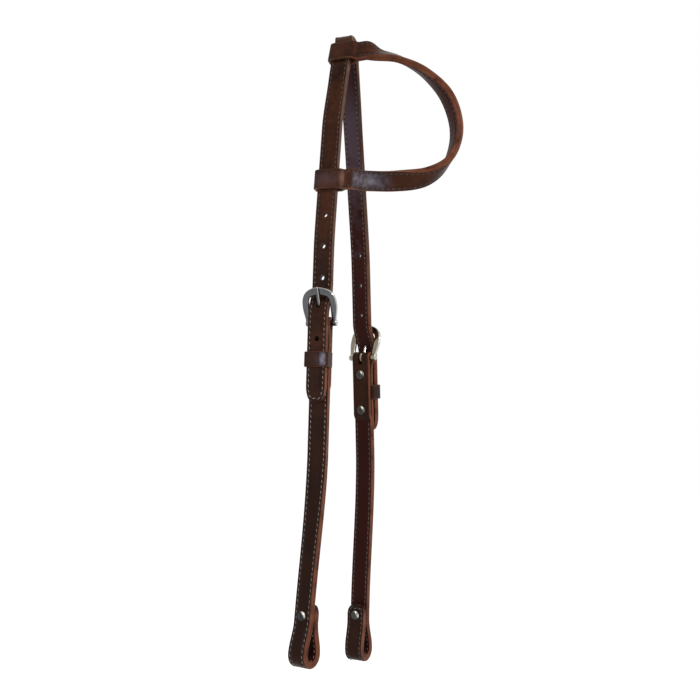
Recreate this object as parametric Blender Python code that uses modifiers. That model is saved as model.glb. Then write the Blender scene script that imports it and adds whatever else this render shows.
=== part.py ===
"""Western one-ear headstall, hung from its crown.

Metres, +Z up, +X towards the horse's nose, +Y towards the horse's left.
The origin is the crown's seat: the underside of the bend that goes over the poll.
Each leg is described along a reference line, measured down from the top of the crest:
a point has a distance down the leg, a place across the strap (forward is positive)
and a height off the strap's middle plane (away from the horse is positive).
"""

import math

import bmesh
import bpy
from mathutils import Matrix, Vector

# Leather
STRAP_WIDTH = 0.0159
PLY = 0.00265
PLY_GAP = 0.0003
SEAT_GAP = 0.0003
EDGE_ROUND = 0.0005
LONG_STEP = 0.016
BEND_STEP = 0.0022

# Crest and legs
CREST_RADIUS = 0.0073
RIGHT_SHOULDER_LEAN = math.radians(20)
LEFT_SHOULDER_LEAN = math.radians(4)
SHOULDER_LENGTH = 0.0205
SHOULDER_EASE = 0.018
UPPER_LEAN = math.radians(8.4)
LOWER_LEAN = math.radians(3.4)
LEAN_START = 0.158
LEAN_EASE = 0.045
UPPER_TURN_START = 0.04
UPPER_TURN_EASE = 0.045
LOWER_TURN_START = 0.33
LOWER_TURN_EASE = 0.105
RIGHT_UPPER_TURN = math.radians(7.4)
RIGHT_LOWER_TURN = math.radians(-11.6)
LEFT_UPPER_TURN = math.radians(7.6)
LEFT_LOWER_TURN = math.radians(3.6)
TRAIL = 0.009
TRAIL_START = 0.345
TRAIL_EASE = 0.17
RIGHT_FORWARD_SHIFT = 0.003
SHIFT_START = 0.035
SHIFT_EASE = 0.05

# Buckles, measured from the middle of the bar
RIGHT_BAR_DOWN = 0.2465
LEFT_BAR_DOWN = 0.269
BAR_RADIUS = 0.0019
FRAME_HEIGHT = 0.029
FRAME_BAND = 0.0054
FRAME_TOP_BAND = 0.0061
FRAME_LOBE_BAND = 0.0036
FRAME_THICKNESS = 0.003
FRAME_ROUND = 0.0008
FRAME_SIDE_GAP = 0.0009
FRAME_TILT = math.radians(21)
FRAME_LOBE_RADIUS = 0.0025
FRAME_LOBE_PROUD = 0.0002
FRAME_SIDE_SHARE = 0.92
FRAME_OUTER_POWER = 0.7
FRAME_INNER_POWER = 0.42
TONGUE_RADIUS = 0.00125
TONGUE_OVERHANG = 0.0012
TONGUE_SLOT_GAP = 0.0005
TONGUE_LIFT = math.radians(6)
TONGUE_DROP = math.radians(3)
TONGUE_SHARES = (0.0, 0.55, 0.80, 0.93, 1.0)
TONGUE_SLIMS = (1.0, 1.0, 0.94, 0.86, 0.62)
HOLE_RADIUS = 0.002
HOLE_SPACING = 0.0254
HOLES_ABOVE = 3
HOLES_BELOW = 1
BILLET_BELOW_BAR = 0.0625
BILLET_TIP = 0.013
TIP_BLUNT_SHARE = 0.35
BILLET_RISE_END = 0.004

# Chape, keeper and screws, measured down from the bar
UPPER_SCREW_DOWN = 0.0145
LOWER_SCREW_FROM_END = 0.009
CHAPE_LENGTH = 0.0535
CHAPE_END_EASE = 0.0039
CHAPE_END_FLAT = 0.001
FOLD_EASE = 0.012
KEEPER_PLY = 0.0016
KEEPER_HEIGHT = 0.012
KEEPER_CORNER = 0.0016
SCREW_HEAD_RADIUS = 0.0037
SCREW_HEAD_HEIGHT = 0.0012
SCREW_HEAD_DOME = 0.0007
HEAD_SHARES = ((0.0, 0.0), (0.55, 0.25), (0.86, 0.7), (1.0, 1.25))
BARREL_RADIUS = 0.0022
BARREL_BORE = 0.0016
SHANK_RADIUS = 0.0012
SHANK_SHARE = 0.75
SCREW_SLOT_WIDTH = 0.0009
SCREW_SLOT_DEPTH = 0.0006

# Bit ends
BIT_SCREW_RIGHT_DOWN = 0.4745
BIT_SCREW_LEFT_DOWN = 0.4885
BIT_LOOP_LENGTH = 0.040
BIT_LOOP_WIDTH = 0.0209
BIT_LOOP_EASE_START = 0.005
TAB_ABOVE_SCREW = 0.0085

# Ear piece
EAR_LOOP_CLEARANCE = 0.0005
EAR_LOOP_CORNER = 0.0026
EAR_LOOP_NECK = 0.0095
EAR_TAIL_FLAT = 0.002
EAR_LEAD = 0.003
EAR_TAIL = 0.0165
EAR_TOP_DOWN = 0.0202
EAR_LOW_DOWN = 0.1305
EAR_REACH = 0.084
EAR_REACH_BACK = 0.10
EAR_DROP = 0.107
EAR_BOW = 0.036

CUT_OVERRUN = 0.002
ROUND_STEPS = 14

WORK = bpy.data.collections.new("western_headstall")
CUTTERS = bpy.data.collections.new("cutters")


def smooth(value, start, length):
    """0 before start, 1 after start + length, with an even ease between."""
    share = min(max((value - start) / length, 0.0), 1.0)
    return share * share * (3 - 2 * share)


class Route:
    """A line in space with a width direction, read by the distance along it."""

    def __init__(self, points, widths):
        self.points = points
        self.widths = widths
        self.marks = [0.0]
        for before, after in zip(points, points[1:]):
            self.marks.append(self.marks[-1] + (after - before).length)
        self.length = self.marks[-1]

    def frame(self, along):
        """Place, direction along, direction across and outward normal."""
        along = min(max(along, 0.0), self.length)
        low, high = 0, len(self.marks) - 1
        while high - low > 1:
            middle = (low + high) // 2
            if self.marks[middle] <= along:
                low = middle
            else:
                high = middle
        share = (along - self.marks[low]) / (self.marks[high] - self.marks[low])
        place = self.points[low].lerp(self.points[high], share)
        before = self.points[max(low - 1, 0)]
        after = self.points[min(high + 1, len(self.points) - 1)]
        here = self.points[high] - self.points[low]
        back = (self.points[low] - before) if low else here
        ahead = (after - self.points[high]) if high < len(self.points) - 1 else here
        start = here.normalized() + back.normalized()
        end = here.normalized() + ahead.normalized()
        tangent = start.normalized().lerp(end.normalized(), share).normalized()
        width = self.widths[low].lerp(self.widths[high], share).normalized()
        return place, tangent, width, tangent.cross(width).normalized()

    def point(self, along, across=0.0, off=0.0):
        place, tangent, width, normal = self.frame(along)
        extra = along - min(max(along, 0.0), self.length)
        return place + tangent * extra + width * across + normal * off


class Leg:
    """One side of the headstall: the reference line from the crest to below the bit loop."""

    def __init__(self, name, side):
        right = side < 0
        self.name = name
        self.side = side
        self.shoulder_lean = RIGHT_SHOULDER_LEAN if right else LEFT_SHOULDER_LEAN
        self.upper_turn = RIGHT_UPPER_TURN if right else LEFT_UPPER_TURN
        self.lower_turn = RIGHT_LOWER_TURN if right else LEFT_LOWER_TURN
        self.bar_down = RIGHT_BAR_DOWN if right else LEFT_BAR_DOWN
        self.screw_down = BIT_SCREW_RIGHT_DOWN if right else BIT_SCREW_LEFT_DOWN
        self.arc = CREST_RADIUS * (math.pi / 2 - self.shoulder_lean)
        self.route = self.make_route()

    def lean(self, down):
        """Angle of the leg from plumb."""
        if down < self.arc:
            return math.pi / 2 - down / CREST_RADIUS
        hold = SHOULDER_LENGTH if self.side < 0 else 0.0
        eased = smooth(down, self.arc + hold, SHOULDER_EASE)
        lean = self.shoulder_lean + (UPPER_LEAN - self.shoulder_lean) * eased
        return lean + (LOWER_LEAN - UPPER_LEAN) * smooth(down, LEAN_START, LEAN_EASE)

    def turn(self, down):
        """Twist of the strap about the leg, front edge inwards positive."""
        upper = self.upper_turn * smooth(down, UPPER_TURN_START, UPPER_TURN_EASE)
        change = self.lower_turn - self.upper_turn
        return upper + change * smooth(down, LOWER_TURN_START, LOWER_TURN_EASE)

    def forward(self, down):
        """How far the leg stands ahead of the crest."""
        shift = RIGHT_FORWARD_SHIFT if self.side < 0 else 0.0
        ahead = shift * smooth(down, 0.0, self.arc)
        ahead -= shift * smooth(down, SHIFT_START, SHIFT_EASE)
        return ahead - TRAIL * smooth(down, TRAIL_START, TRAIL_EASE)

    def make_route(self):
        step = CREST_RADIUS / 16
        count = round((self.screw_down + BIT_LOOP_LENGTH) / step)
        y, z = 0.0, (PLY_GAP / 2 + PLY)
        points, widths = [], []
        for i in range(count + 1):
            down = i * step
            points.append(Vector((self.forward(down), y, z)))
            turn = self.turn(down)
            widths.append(Vector((math.cos(turn), -self.side * math.sin(turn), 0.0)))
            lean = self.lean(down + step / 2)
            y += self.side * math.sin(lean) * step
            z -= math.cos(lean) * step
        return Route(points, widths)

    def place(self, down, across=0.0, off=0.0):
        """A point by distance down the leg, across the strap and off its middle plane."""
        return self.route.point(down, across, -self.side * off)

    def matrix(self, down, off=0.0):
        """A frame with X across the strap, Y up the leg and Z away from the horse."""
        place, _, width, normal = self.route.frame(down)
        out = normal * -self.side
        across = width * -self.side
        turn = Matrix((across, out.cross(across), out)).transposed()
        return Matrix.Translation(place + out * off) @ turn.to_4x4()


def material(name, colour, metallic, roughness):
    made = bpy.data.materials.new(name)
    made.use_nodes = True
    shader = made.node_tree.nodes["Principled BSDF"]
    shader.inputs["Base Color"].default_value = (*colour, 1.0)
    shader.inputs["Metallic"].default_value = metallic
    shader.inputs["Roughness"].default_value = roughness
    return made


def outer_leather(name):
    return material(name, (0.060, 0.020, 0.012), 0.0, 0.42)


def lining_leather(name):
    return material(name, (0.085, 0.030, 0.018), 0.0, 0.55)


def nickel(name):
    return material(name, (0.55, 0.54, 0.52), 1.0, 0.30)


def link(name, mesh, look, collection=WORK):
    made = bpy.data.objects.new(name, mesh)
    collection.objects.link(made)
    if look is not None:
        mesh.materials.append(look)
    return made


def shade(made):
    made.data.shade_smooth()
    made.data.set_sharp_from_angle(angle=math.radians(35))


def from_bmesh(name, bm):
    mesh = bpy.data.meshes.new(name)
    bm.to_mesh(mesh)
    bm.free()
    return mesh


def sheet(name, rows, placed, look, thickness, columns=1, closed=False, rounding=EDGE_ROUND):
    """A strip of leather: a flat grid laid along its rows, given its thickness and round edges."""
    bm = bmesh.new()
    bmesh.ops.create_grid(bm, x_segments=len(rows) - 1, y_segments=columns, size=1)
    for vertex in bm.verts:
        row = rows[round((vertex.co.x + 1) / 2 * (len(rows) - 1))]
        vertex.co = placed(row, vertex.co.y)
    if closed:
        bmesh.ops.remove_doubles(bm, verts=bm.verts, dist=PLY_GAP / 10)
    bmesh.ops.recalc_face_normals(bm, faces=bm.faces)
    made = link(name, from_bmesh(name, bm), look)
    wall = made.modifiers.new("thickness", "SOLIDIFY")
    wall.thickness = thickness
    wall.offset = 0
    wall.use_even_offset = True
    edges = made.modifiers.new("edges", "BEVEL")
    edges.width = rounding
    edges.segments = 1
    edges.limit_method = "ANGLE"
    edges.angle_limit = math.radians(50)
    shade(made)
    return made


def rod(name, start, end, radius, steps=ROUND_STEPS, grow=0.0):
    """A round cutter from one point to another, each end grown by the overrun."""
    bm = bmesh.new()
    axis = (end - start).normalized()
    length = (end - start).length + 2 * grow
    bmesh.ops.create_cone(
        bm, cap_ends=True, segments=steps, radius1=radius, radius2=radius, depth=length
    )
    spin = axis.to_track_quat("Z", "Y").to_matrix().to_4x4()
    bmesh.ops.transform(bm, matrix=Matrix.Translation((start + end) / 2) @ spin, verts=bm.verts)
    return cutter(name, from_bmesh(name, bm))


def cutter(name, mesh):
    made = link(name, mesh, None, CUTTERS)
    made.hide_render = True
    made.display_type = "WIRE"
    return made


def cut(made, tool):
    step = made.modifiers.new("cut", "BOOLEAN")
    step.operation = "DIFFERENCE"
    step.solver = "EXACT"
    step.object = tool


def steps_between(start, end, step):
    """Even stations from start to end, no further apart than step."""
    count = max(math.ceil(abs(end - start) / step - 1e-6), 1)
    return [start + (end - start) * i / count for i in range(count + 1)]


def chain(*runs):
    """Runs of stations joined, each starting where the last one ended."""
    stations = [runs[0][0]]
    for run in runs:
        stations.extend(run[1:])
    return stations


HALF_WIDTH = STRAP_WIDTH / 2
LOWER_SCREW_DOWN = CHAPE_LENGTH - LOWER_SCREW_FROM_END
BILLET_RISE_START = FRAME_HEIGHT
CHAPE_EASE_END = CHAPE_LENGTH - CHAPE_END_FLAT
CHAPE_EASE_START = CHAPE_EASE_END - CHAPE_END_EASE
KEEPER_DOWN = (UPPER_SCREW_DOWN + LOWER_SCREW_DOWN) / 2
PLY_OFF = (PLY + PLY_GAP) / 2
HALF_STRAP = PLY + PLY_GAP / 2
FOLD_RADIUS = BAR_RADIUS + SEAT_GAP + PLY / 2
KEEPER_BACK_OFF = PLY_GAP / 2 - SEAT_GAP - KEEPER_PLY / 2
CHAPE_OFF = KEEPER_BACK_OFF - KEEPER_PLY / 2 - SEAT_GAP - PLY / 2
POST_HEAD_OFF = HALF_STRAP + SEAT_GAP
BILLET_OFF = HALF_STRAP + SEAT_GAP + max(FOLD_RADIUS + PLY / 2, POST_HEAD_OFF + SCREW_HEAD_HEIGHT)
FRAME_INNER_HALF = HALF_WIDTH + FRAME_SIDE_GAP
TONGUE_REACH = FRAME_HEIGHT + TONGUE_OVERHANG
TONGUE_ANGLE = FRAME_TILT + math.atan(
    (FRAME_THICKNESS / 2 + SEAT_GAP + TONGUE_RADIUS) / (FRAME_HEIGHT - FRAME_TOP_BAND / 2)
)


def billet_off(leg, down):
    """How far the crown strap stands off the leg's reference line."""
    rise = BILLET_RISE_START - BILLET_RISE_END
    return BILLET_OFF * smooth(down, leg.bar_down - BILLET_RISE_START, rise)


def tongue_hole_down(leg):
    """Where the tongue's line crosses the billet's middle plane, down the leg."""
    low, high = leg.bar_down - BILLET_RISE_START, leg.bar_down - FOLD_RADIUS
    for _ in range(40):
        middle = (low + high) / 2
        if billet_off(leg, middle) < (leg.bar_down - middle) * math.tan(TONGUE_ANGLE):
            low = middle
        else:
            high = middle
    return low


def crown_route(right, left):
    """The crown strap's middle plane, from the right billet's tip over the crest to the left's."""
    step = CREST_RADIUS / 12
    points, widths, downs = [], [], []
    for leg, order in ((right, -1), (left, 1)):
        tip = leg.bar_down + BILLET_BELOW_BAR
        stations = steps_between(0.0, tip, step)
        if order < 0:
            stations = stations[:0:-1]
        for down in stations:
            points.append(leg.place(down, off=billet_off(leg, down)))
            widths.append(leg.route.frame(down)[2])
            downs.append((leg.side, down))
    return Route(points, widths), downs


def crown_mark(route, downs, side, down):
    """The crown route's own length at a distance down one leg."""
    best = min(
        range(len(downs)),
        key=lambda i: abs(downs[i][1] - down) if downs[i][0] == side else math.inf,
    )
    return route.marks[best]


def tip_half_width(from_tip, taper):
    """Half the strap's width at a distance from a rounded tip."""
    share = min(from_tip / taper, 1.0)
    return HALF_WIDTH * (TIP_BLUNT_SHARE + (1 - TIP_BLUNT_SHARE) * math.sqrt(1 - (1 - share) ** 2))


def make_crown(right, left, route, downs):
    """Both plies of the crown strap, with their punched holes."""
    length = route.length
    right_bar = crown_mark(route, downs, -1, right.bar_down)
    left_bar = crown_mark(route, downs, 1, left.bar_down)
    crest = crown_mark(route, downs, 1, 0.0)
    near_crest = CREST_RADIUS * math.pi / 2
    tip_steps = BILLET_TIP / 6
    stations = chain(
        steps_between(0.0, BILLET_TIP, tip_steps),
        steps_between(BILLET_TIP, right_bar, LONG_STEP),
        steps_between(right_bar, right_bar + BILLET_RISE_START, BEND_STEP * 2),
        steps_between(right_bar + BILLET_RISE_START, crest - near_crest * 3, LONG_STEP),
        steps_between(crest - near_crest * 3, crest - near_crest, BEND_STEP * 3),
        steps_between(crest - near_crest, crest + near_crest, BEND_STEP),
        steps_between(crest + near_crest, crest + near_crest * 3, BEND_STEP * 3),
        steps_between(crest + near_crest * 3, left_bar - BILLET_RISE_START, LONG_STEP),
        steps_between(left_bar - BILLET_RISE_START, left_bar, BEND_STEP * 2),
        steps_between(left_bar, length - BILLET_TIP, LONG_STEP),
        steps_between(length - BILLET_TIP, length, tip_steps),
    )
    for name, off, look in (
        ("crown_outer", -PLY_OFF, outer_leather),
        ("crown_lining", PLY_OFF, lining_leather),
    ):

        def placed(along, across):
            half = tip_half_width(min(along, length - along), BILLET_TIP)
            return route.point(along, across * half, off)

        ply = sheet(name, stations, placed, look(name), PLY)
        for leg in (right, left):
            punch_holes(name, ply, leg, route, crown_mark(route, downs, leg.side, tongue_hole_down(leg)))


def punch_holes(name, ply, leg, route, tongue_mark):
    """The row of holes in one leg: round ones, and the one that the tongue goes through."""
    up = 1 if leg.side < 0 else -1
    for count in range(-HOLES_BELOW, HOLES_ABOVE + 1):
        if count == 0:
            continue
        along = tongue_mark + up * count * HOLE_SPACING
        start = route.point(along, off=-HALF_STRAP)
        end = route.point(along, off=HALF_STRAP)
        label = f"{name}_{leg.name}_hole_{count + HOLES_BELOW}"
        cut(ply, rod(label, start, end, HOLE_RADIUS, steps=10, grow=CUT_OVERRUN))
    bar = leg.matrix(leg.bar_down)
    for number, swing in enumerate((-TONGUE_DROP, 0.0, TONGUE_LIFT / 2, TONGUE_LIFT)):
        angle = TONGUE_ANGLE + swing
        ray = bar.to_3x3() @ Vector((0.0, math.cos(angle), math.sin(angle)))
        start = bar.translation + ray * FOLD_RADIUS
        end = bar.translation + ray * (TONGUE_REACH - FRAME_TOP_BAND)
        label = f"{name}_{leg.name}_tongue_{number}"
        cut(ply, rod(label, start, end, TONGUE_RADIUS + SEAT_GAP, steps=12))


def cheek_outline(leg):
    """The outer ply's path as (down, off) pairs: chape end, round the bar, down, round the bit loop."""
    bar = leg.bar_down
    path = [(bar + down, chape_off(down)) for down in chape_stations()]
    turns = 10
    for i in range(1, turns + 1):
        angle = math.pi * i / turns
        path.append((bar - FOLD_RADIUS * math.sin(angle), -FOLD_RADIUS * math.cos(angle)))
    for down in steps_between(0.0, FOLD_EASE, BEND_STEP)[1:]:
        eased = smooth(down, 0.0, FOLD_EASE)
        path.append((bar + down, FOLD_RADIUS + (PLY_OFF - FOLD_RADIUS) * eased))
    return path + bit_loop(leg, bar + FOLD_EASE, PLY_OFF)[1:]


def chape_stations():
    """Distances below the bar at which the chape's path is laid, from its end up."""
    return chain(
        [CHAPE_LENGTH, CHAPE_EASE_END],
        steps_between(CHAPE_EASE_END, CHAPE_EASE_START, BEND_STEP),
        steps_between(CHAPE_EASE_START, 0.0, LONG_STEP),
    )


def chape_off(down):
    """The chape stands clear of the keeper's back, and closes on the cheek at its end."""
    if down >= CHAPE_EASE_START:
        length = CHAPE_EASE_END - CHAPE_EASE_START
        return CHAPE_OFF + (-PLY_OFF - CHAPE_OFF) * smooth(down, CHAPE_EASE_START, length)
    return CHAPE_OFF + (-FOLD_RADIUS - CHAPE_OFF) * (1 - smooth(down, 0.0, FOLD_EASE))


def bit_loop(leg, start, ply_off):
    """One ply from a distance down the leg, round the bit loop and up to the tab's end."""
    screw = leg.screw_down
    radius = BIT_LOOP_WIDTH / 2 - HALF_STRAP
    pinch = HALF_STRAP + SEAT_GAP / 2
    middle = -pinch
    straight = screw + BIT_LOOP_LENGTH - HALF_STRAP - radius
    ease_start = screw + BIT_LOOP_EASE_START

    def half(down):
        return pinch + (radius - pinch) * smooth(down, ease_start, straight - ease_start)

    downs = chain(
        steps_between(start, ease_start, LONG_STEP),
        steps_between(ease_start, straight, BEND_STEP * 3),
    )
    path = [(down, middle + half(down) + ply_off) for down in downs]
    turns = 11
    for i in range(1, turns + 1):
        angle = math.pi * i / turns
        reach = radius + ply_off
        path.append((straight + reach * math.sin(angle), middle + reach * math.cos(angle)))
    back = chain(
        steps_between(straight, ease_start, BEND_STEP * 3),
        steps_between(ease_start, screw - TAB_ABOVE_SCREW + HALF_WIDTH, BEND_STEP * 3),
        steps_between(screw - TAB_ABOVE_SCREW + HALF_WIDTH, screw - TAB_ABOVE_SCREW, BEND_STEP),
    )
    path.extend((down, middle - half(down) - ply_off) for down in back[1:])
    return path


def make_cheek(leg):
    """Both plies of one cheekpiece, with the tongue's slot and the screws' holes."""
    tab_end = leg.screw_down - TAB_ABOVE_SCREW

    def placed(row, across):
        down, off, at_tab = row
        half = HALF_WIDTH
        if at_tab:
            half = tip_half_width(down - tab_end, HALF_WIDTH)
        return leg.place(down, across * half, off)

    def rows(path):
        bottom = max(range(len(path)), key=lambda i: path[i][0])
        return [(down, off, i > bottom) for i, (down, off) in enumerate(path)]

    outer = sheet(
        f"cheek_outer_{leg.name}",
        rows(cheek_outline(leg)),
        placed,
        outer_leather(f"cheek_outer_{leg.name}"),
        PLY,
    )
    lining_start = leg.bar_down + CHAPE_LENGTH + SEAT_GAP
    lining = sheet(
        f"cheek_lining_{leg.name}",
        rows(bit_loop(leg, lining_start, -PLY_OFF)),
        placed,
        lining_leather(f"cheek_lining_{leg.name}"),
        PLY,
    )
    cut(outer, slot_cutter(leg))
    hole = BARREL_RADIUS + SEAT_GAP
    for part, down in (("upper", UPPER_SCREW_DOWN), ("lower", LOWER_SCREW_DOWN)):
        start = leg.place(leg.bar_down + down, off=CHAPE_OFF - PLY)
        end = leg.place(leg.bar_down + down, off=HALF_STRAP)
        label = f"{leg.name}_{part}_screw_hole"
        cut(outer, rod(label, start, end, hole, steps=12, grow=CUT_OVERRUN))
    start = leg.place(leg.screw_down, off=-3 * HALF_STRAP)
    end = leg.place(leg.screw_down, off=HALF_STRAP)
    for name, ply in (("outer", outer), ("lining", lining)):
        label = f"{leg.name}_{name}_bit_hole"
        cut(ply, rod(label, start, end, hole, steps=12, grow=CUT_OVERRUN))


def slot_cutter(leg):
    """The slot in the fold that lets the tongue's eye sit on the bar."""
    half = TONGUE_RADIUS + TONGUE_SLOT_GAP
    reach = BAR_RADIUS + 2 * SEAT_GAP + 2 * TONGUE_RADIUS + TONGUE_SLOT_GAP
    bm = bmesh.new()
    bmesh.ops.create_cube(bm, size=1)
    size = Matrix.Diagonal((2 * half, 2 * reach, 3 * reach, 1))
    bmesh.ops.transform(bm, matrix=leg.matrix(leg.bar_down) @ size, verts=bm.verts)
    return cutter(f"{leg.name}_tongue_slot", from_bmesh(f"{leg.name}_tongue_slot", bm))


def make_frame(leg):
    """The buckle's D frame: a flat bowed band that ends in lobes joined by the round bar."""
    inner = FRAME_INNER_HALF
    outer = inner + FRAME_BAND
    side = (FRAME_HEIGHT - outer) * FRAME_SIDE_SHARE
    outline = []
    turns = 14
    edges = (
        (outer, FRAME_HEIGHT, FRAME_OUTER_POWER, 1),
        (inner, FRAME_HEIGHT - FRAME_TOP_BAND, FRAME_INNER_POWER, -1),
    )
    for half, height, power, order in edges:
        arc = []
        for i in range(turns + 1):
            angle = math.pi * i / turns
            bow = abs(math.sin(angle)) ** power
            arc.append((half * math.cos(angle), side + (height - side) * bow))
        outline.extend(arc[::order])
    profile = bpy.data.curves.new(f"frame_{leg.name}", "CURVE")
    profile.dimensions = "2D"
    profile.fill_mode = "BOTH"
    profile.extrude = FRAME_THICKNESS / 2 - FRAME_ROUND
    profile.bevel_depth = FRAME_ROUND
    profile.bevel_resolution = 1
    profile.offset = -FRAME_ROUND
    line = profile.splines.new("POLY")
    foot = inner + FRAME_LOBE_BAND
    lobe = [(foot, 0.0), (inner, 0.0)]
    points = outline[: turns + 1] + [(-foot, 0.0), (-inner, 0.0)] + outline[turns + 1 :] + lobe[::-1]
    line.points.add(len(points) - 1)
    for spot, (x, y) in zip(line.points, points):
        spot.co = (x, y, 0.0, 1.0)
    line.use_cyclic_u = True
    made = solid_of_curve(f"buckle_frame_{leg.name}", profile)
    made.data.transform(Matrix.Rotation(FRAME_TILT, 4, "X"))
    made.data.materials.append(nickel(f"buckle_frame_{leg.name}"))
    made.matrix_world = leg.matrix(leg.bar_down)
    bar = cross_bar(f"{leg.name}_bar", leg, inner + FRAME_LOBE_BAND / 2, BAR_RADIUS)
    join(made, bar)
    for sign in (-1, 1):
        lobe_end = cross_bar(
            f"{leg.name}_lobe_{'front' if sign > 0 else 'rear'}",
            leg,
            FRAME_LOBE_BAND / 2 + FRAME_LOBE_PROUD,
            FRAME_LOBE_RADIUS,
        )
        lobe_end.data.transform(Matrix.Translation((sign * (inner + FRAME_LOBE_BAND / 2), 0.0, 0.0)))
        join(made, lobe_end)
    shade(made)
    return made


def cross_bar(name, leg, half_length, radius):
    """A round piece across the strap on the bar's axis, as a joining body."""
    bm = bmesh.new()
    bmesh.ops.create_cone(
        bm, cap_ends=True, segments=ROUND_STEPS, radius1=radius, radius2=radius, depth=2 * half_length
    )
    bmesh.ops.transform(bm, matrix=Matrix.Rotation(math.pi / 2, 4, "Y"), verts=bm.verts)
    made = cutter(name, from_bmesh(name, bm))
    made.matrix_world = leg.matrix(leg.bar_down)
    return made


def join(made, other):
    step = made.modifiers.new("join", "BOOLEAN")
    step.operation = "UNION"
    step.solver = "EXACT"
    step.object = other


def solid_of_curve(name, curve):
    """A curve made a mesh with its caps welded."""
    shape = bpy.data.objects.new(name + "_curve", curve)
    WORK.objects.link(shape)
    bpy.context.view_layer.update()
    evaluated = shape.evaluated_get(bpy.context.evaluated_depsgraph_get())
    mesh = bpy.data.meshes.new_from_object(evaluated)
    matrix = shape.matrix_world.copy()
    bpy.data.objects.remove(shape)
    bm = bmesh.new()
    bm.from_mesh(mesh)
    bmesh.ops.remove_doubles(bm, verts=bm.verts, dist=PLY_GAP / 100)
    bm.to_mesh(mesh)
    bm.free()
    mesh.materials.clear()
    made = link(name, mesh, None)
    made.matrix_world = matrix
    return made


def make_tongue(leg):
    """The tongue: an eye round the bar and a tapered pin whose tip lies on the frame."""
    name = f"buckle_tongue_{leg.name}"
    eye = BAR_RADIUS + SEAT_GAP + TONGUE_RADIUS
    pin = bpy.data.curves.new(name, "CURVE")
    pin.dimensions = "3D"
    pin.bevel_depth = TONGUE_RADIUS
    pin.bevel_resolution = 2
    pin.use_fill_caps = True
    line = pin.splines.new("POLY")
    ray = Vector((0.0, math.cos(TONGUE_ANGLE), math.sin(TONGUE_ANGLE)))
    line.points.add(len(TONGUE_SHARES) - 1)
    for spot, share, slim in zip(line.points, TONGUE_SHARES, TONGUE_SLIMS):
        place = ray * (eye + (TONGUE_REACH - eye) * share)
        spot.co = (*place, 1.0)
        spot.radius = slim
    made = solid_of_curve(name, pin)
    made.data.materials.append(nickel(name))
    made.matrix_world = leg.matrix(leg.bar_down)
    ring_piece = cutter(f"{leg.name}_tongue_eye", ring(eye, TONGUE_RADIUS))
    ring_piece.matrix_world = leg.matrix(leg.bar_down)
    join(made, ring_piece)
    shade(made)
    return made


def ring(radius, wire):
    """A ring about X."""
    bpy.ops.mesh.primitive_torus_add(
        major_segments=18, minor_segments=8, major_radius=radius, minor_radius=wire
    )
    shape = bpy.context.object
    mesh = shape.data
    mesh.transform(Matrix.Rotation(math.pi / 2, 4, "Y"))
    bpy.data.objects.remove(shape)
    return mesh


def rounded_box(low_off, high_off, half, corner):
    """A closed rectangle with round corners as (across, off) pairs, first point repeated at the end."""
    centres = (
        (half - corner, high_off - corner, 0.0),
        (-half + corner, high_off - corner, math.pi / 2),
        (-half + corner, low_off + corner, math.pi),
        (half - corner, low_off + corner, 1.5 * math.pi),
    )
    outline = []
    for across, off, start in centres:
        for i in range(4):
            angle = start + math.pi / 2 * i / 3
            outline.append((across + corner * math.cos(angle), off + corner * math.sin(angle)))
    return outline + outline[:1]


def make_keeper(leg):
    """The leather loop over the billet, its flat back held between the chape and the cheek."""
    name = f"keeper_{leg.name}"
    high = BILLET_OFF + HALF_STRAP + SEAT_GAP + KEEPER_PLY / 2
    half = HALF_WIDTH + SEAT_GAP + KEEPER_PLY / 2
    outline = rounded_box(KEEPER_BACK_OFF, high, half, KEEPER_CORNER)
    middle = leg.bar_down + KEEPER_DOWN

    def placed(row, across):
        return leg.place(middle + across * KEEPER_HEIGHT / 2, row[0], row[1])

    return sheet(name, outline, placed, outer_leather(name), KEEPER_PLY, closed=True, rounding=EDGE_ROUND / 2)


def turned(name, profile, matrix, look):
    """A turned piece from its (radius, height) profile, top to bottom."""
    bm = bmesh.new()
    spots = [bm.verts.new((radius, 0.0, height)) for radius, height in profile]
    for one, other in zip(spots, spots[1:]):
        bm.edges.new((one, other))
    made = link(name, from_bmesh(name, bm), look)
    spin = made.modifiers.new("turn", "SCREW")
    spin.steps = 12
    spin.render_steps = 12
    spin.use_merge_vertices = True
    spin.merge_threshold = PLY_GAP / 100
    made.matrix_world = matrix
    shade(made)
    return made


def make_screw_set(leg, part, down, inner_off, outer_off):
    """A two-part screw: the post from outside, the slotted screw from inside."""
    matrix = leg.matrix(down)
    head, dome = SCREW_HEAD_RADIUS, SCREW_HEAD_DOME
    foot = outer_off + SEAT_GAP
    top = foot + SCREW_HEAD_HEIGHT
    barrel_end = inner_off + SEAT_GAP
    tip = foot - (foot - barrel_end) * SHANK_SHARE
    post = [(head * out, top - dome * down) for out, down in HEAD_SHARES]
    post += [
        (head, foot),
        (BARREL_RADIUS, foot),
        (BARREL_RADIUS, barrel_end),
        (BARREL_BORE, barrel_end),
        (BARREL_BORE, foot),
        (0.0, foot),
    ]
    name = f"{part}_post_{leg.name}"
    turned(name, post, matrix, nickel(name))
    seat = inner_off - SEAT_GAP
    low = seat - SCREW_HEAD_HEIGHT
    screw = [(0.0, tip), (SHANK_RADIUS, tip), (SHANK_RADIUS, seat), (head, seat)]
    screw += [(head * out, low + dome * up) for out, up in reversed(HEAD_SHARES)]
    name = f"{part}_screw_{leg.name}"
    made = turned(name, screw, matrix, nickel(name))
    bm = bmesh.new()
    bmesh.ops.create_cube(bm, size=1)
    size = Matrix.Diagonal((SCREW_SLOT_WIDTH, 3 * head, 2 * SCREW_SLOT_DEPTH, 1))
    bmesh.ops.transform(bm, matrix=matrix @ Matrix.Translation((0, 0, low)) @ size, verts=bm.verts)
    cut(made, cutter(f"{name}_slot", from_bmesh(f"{name}_slot", bm)))


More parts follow.
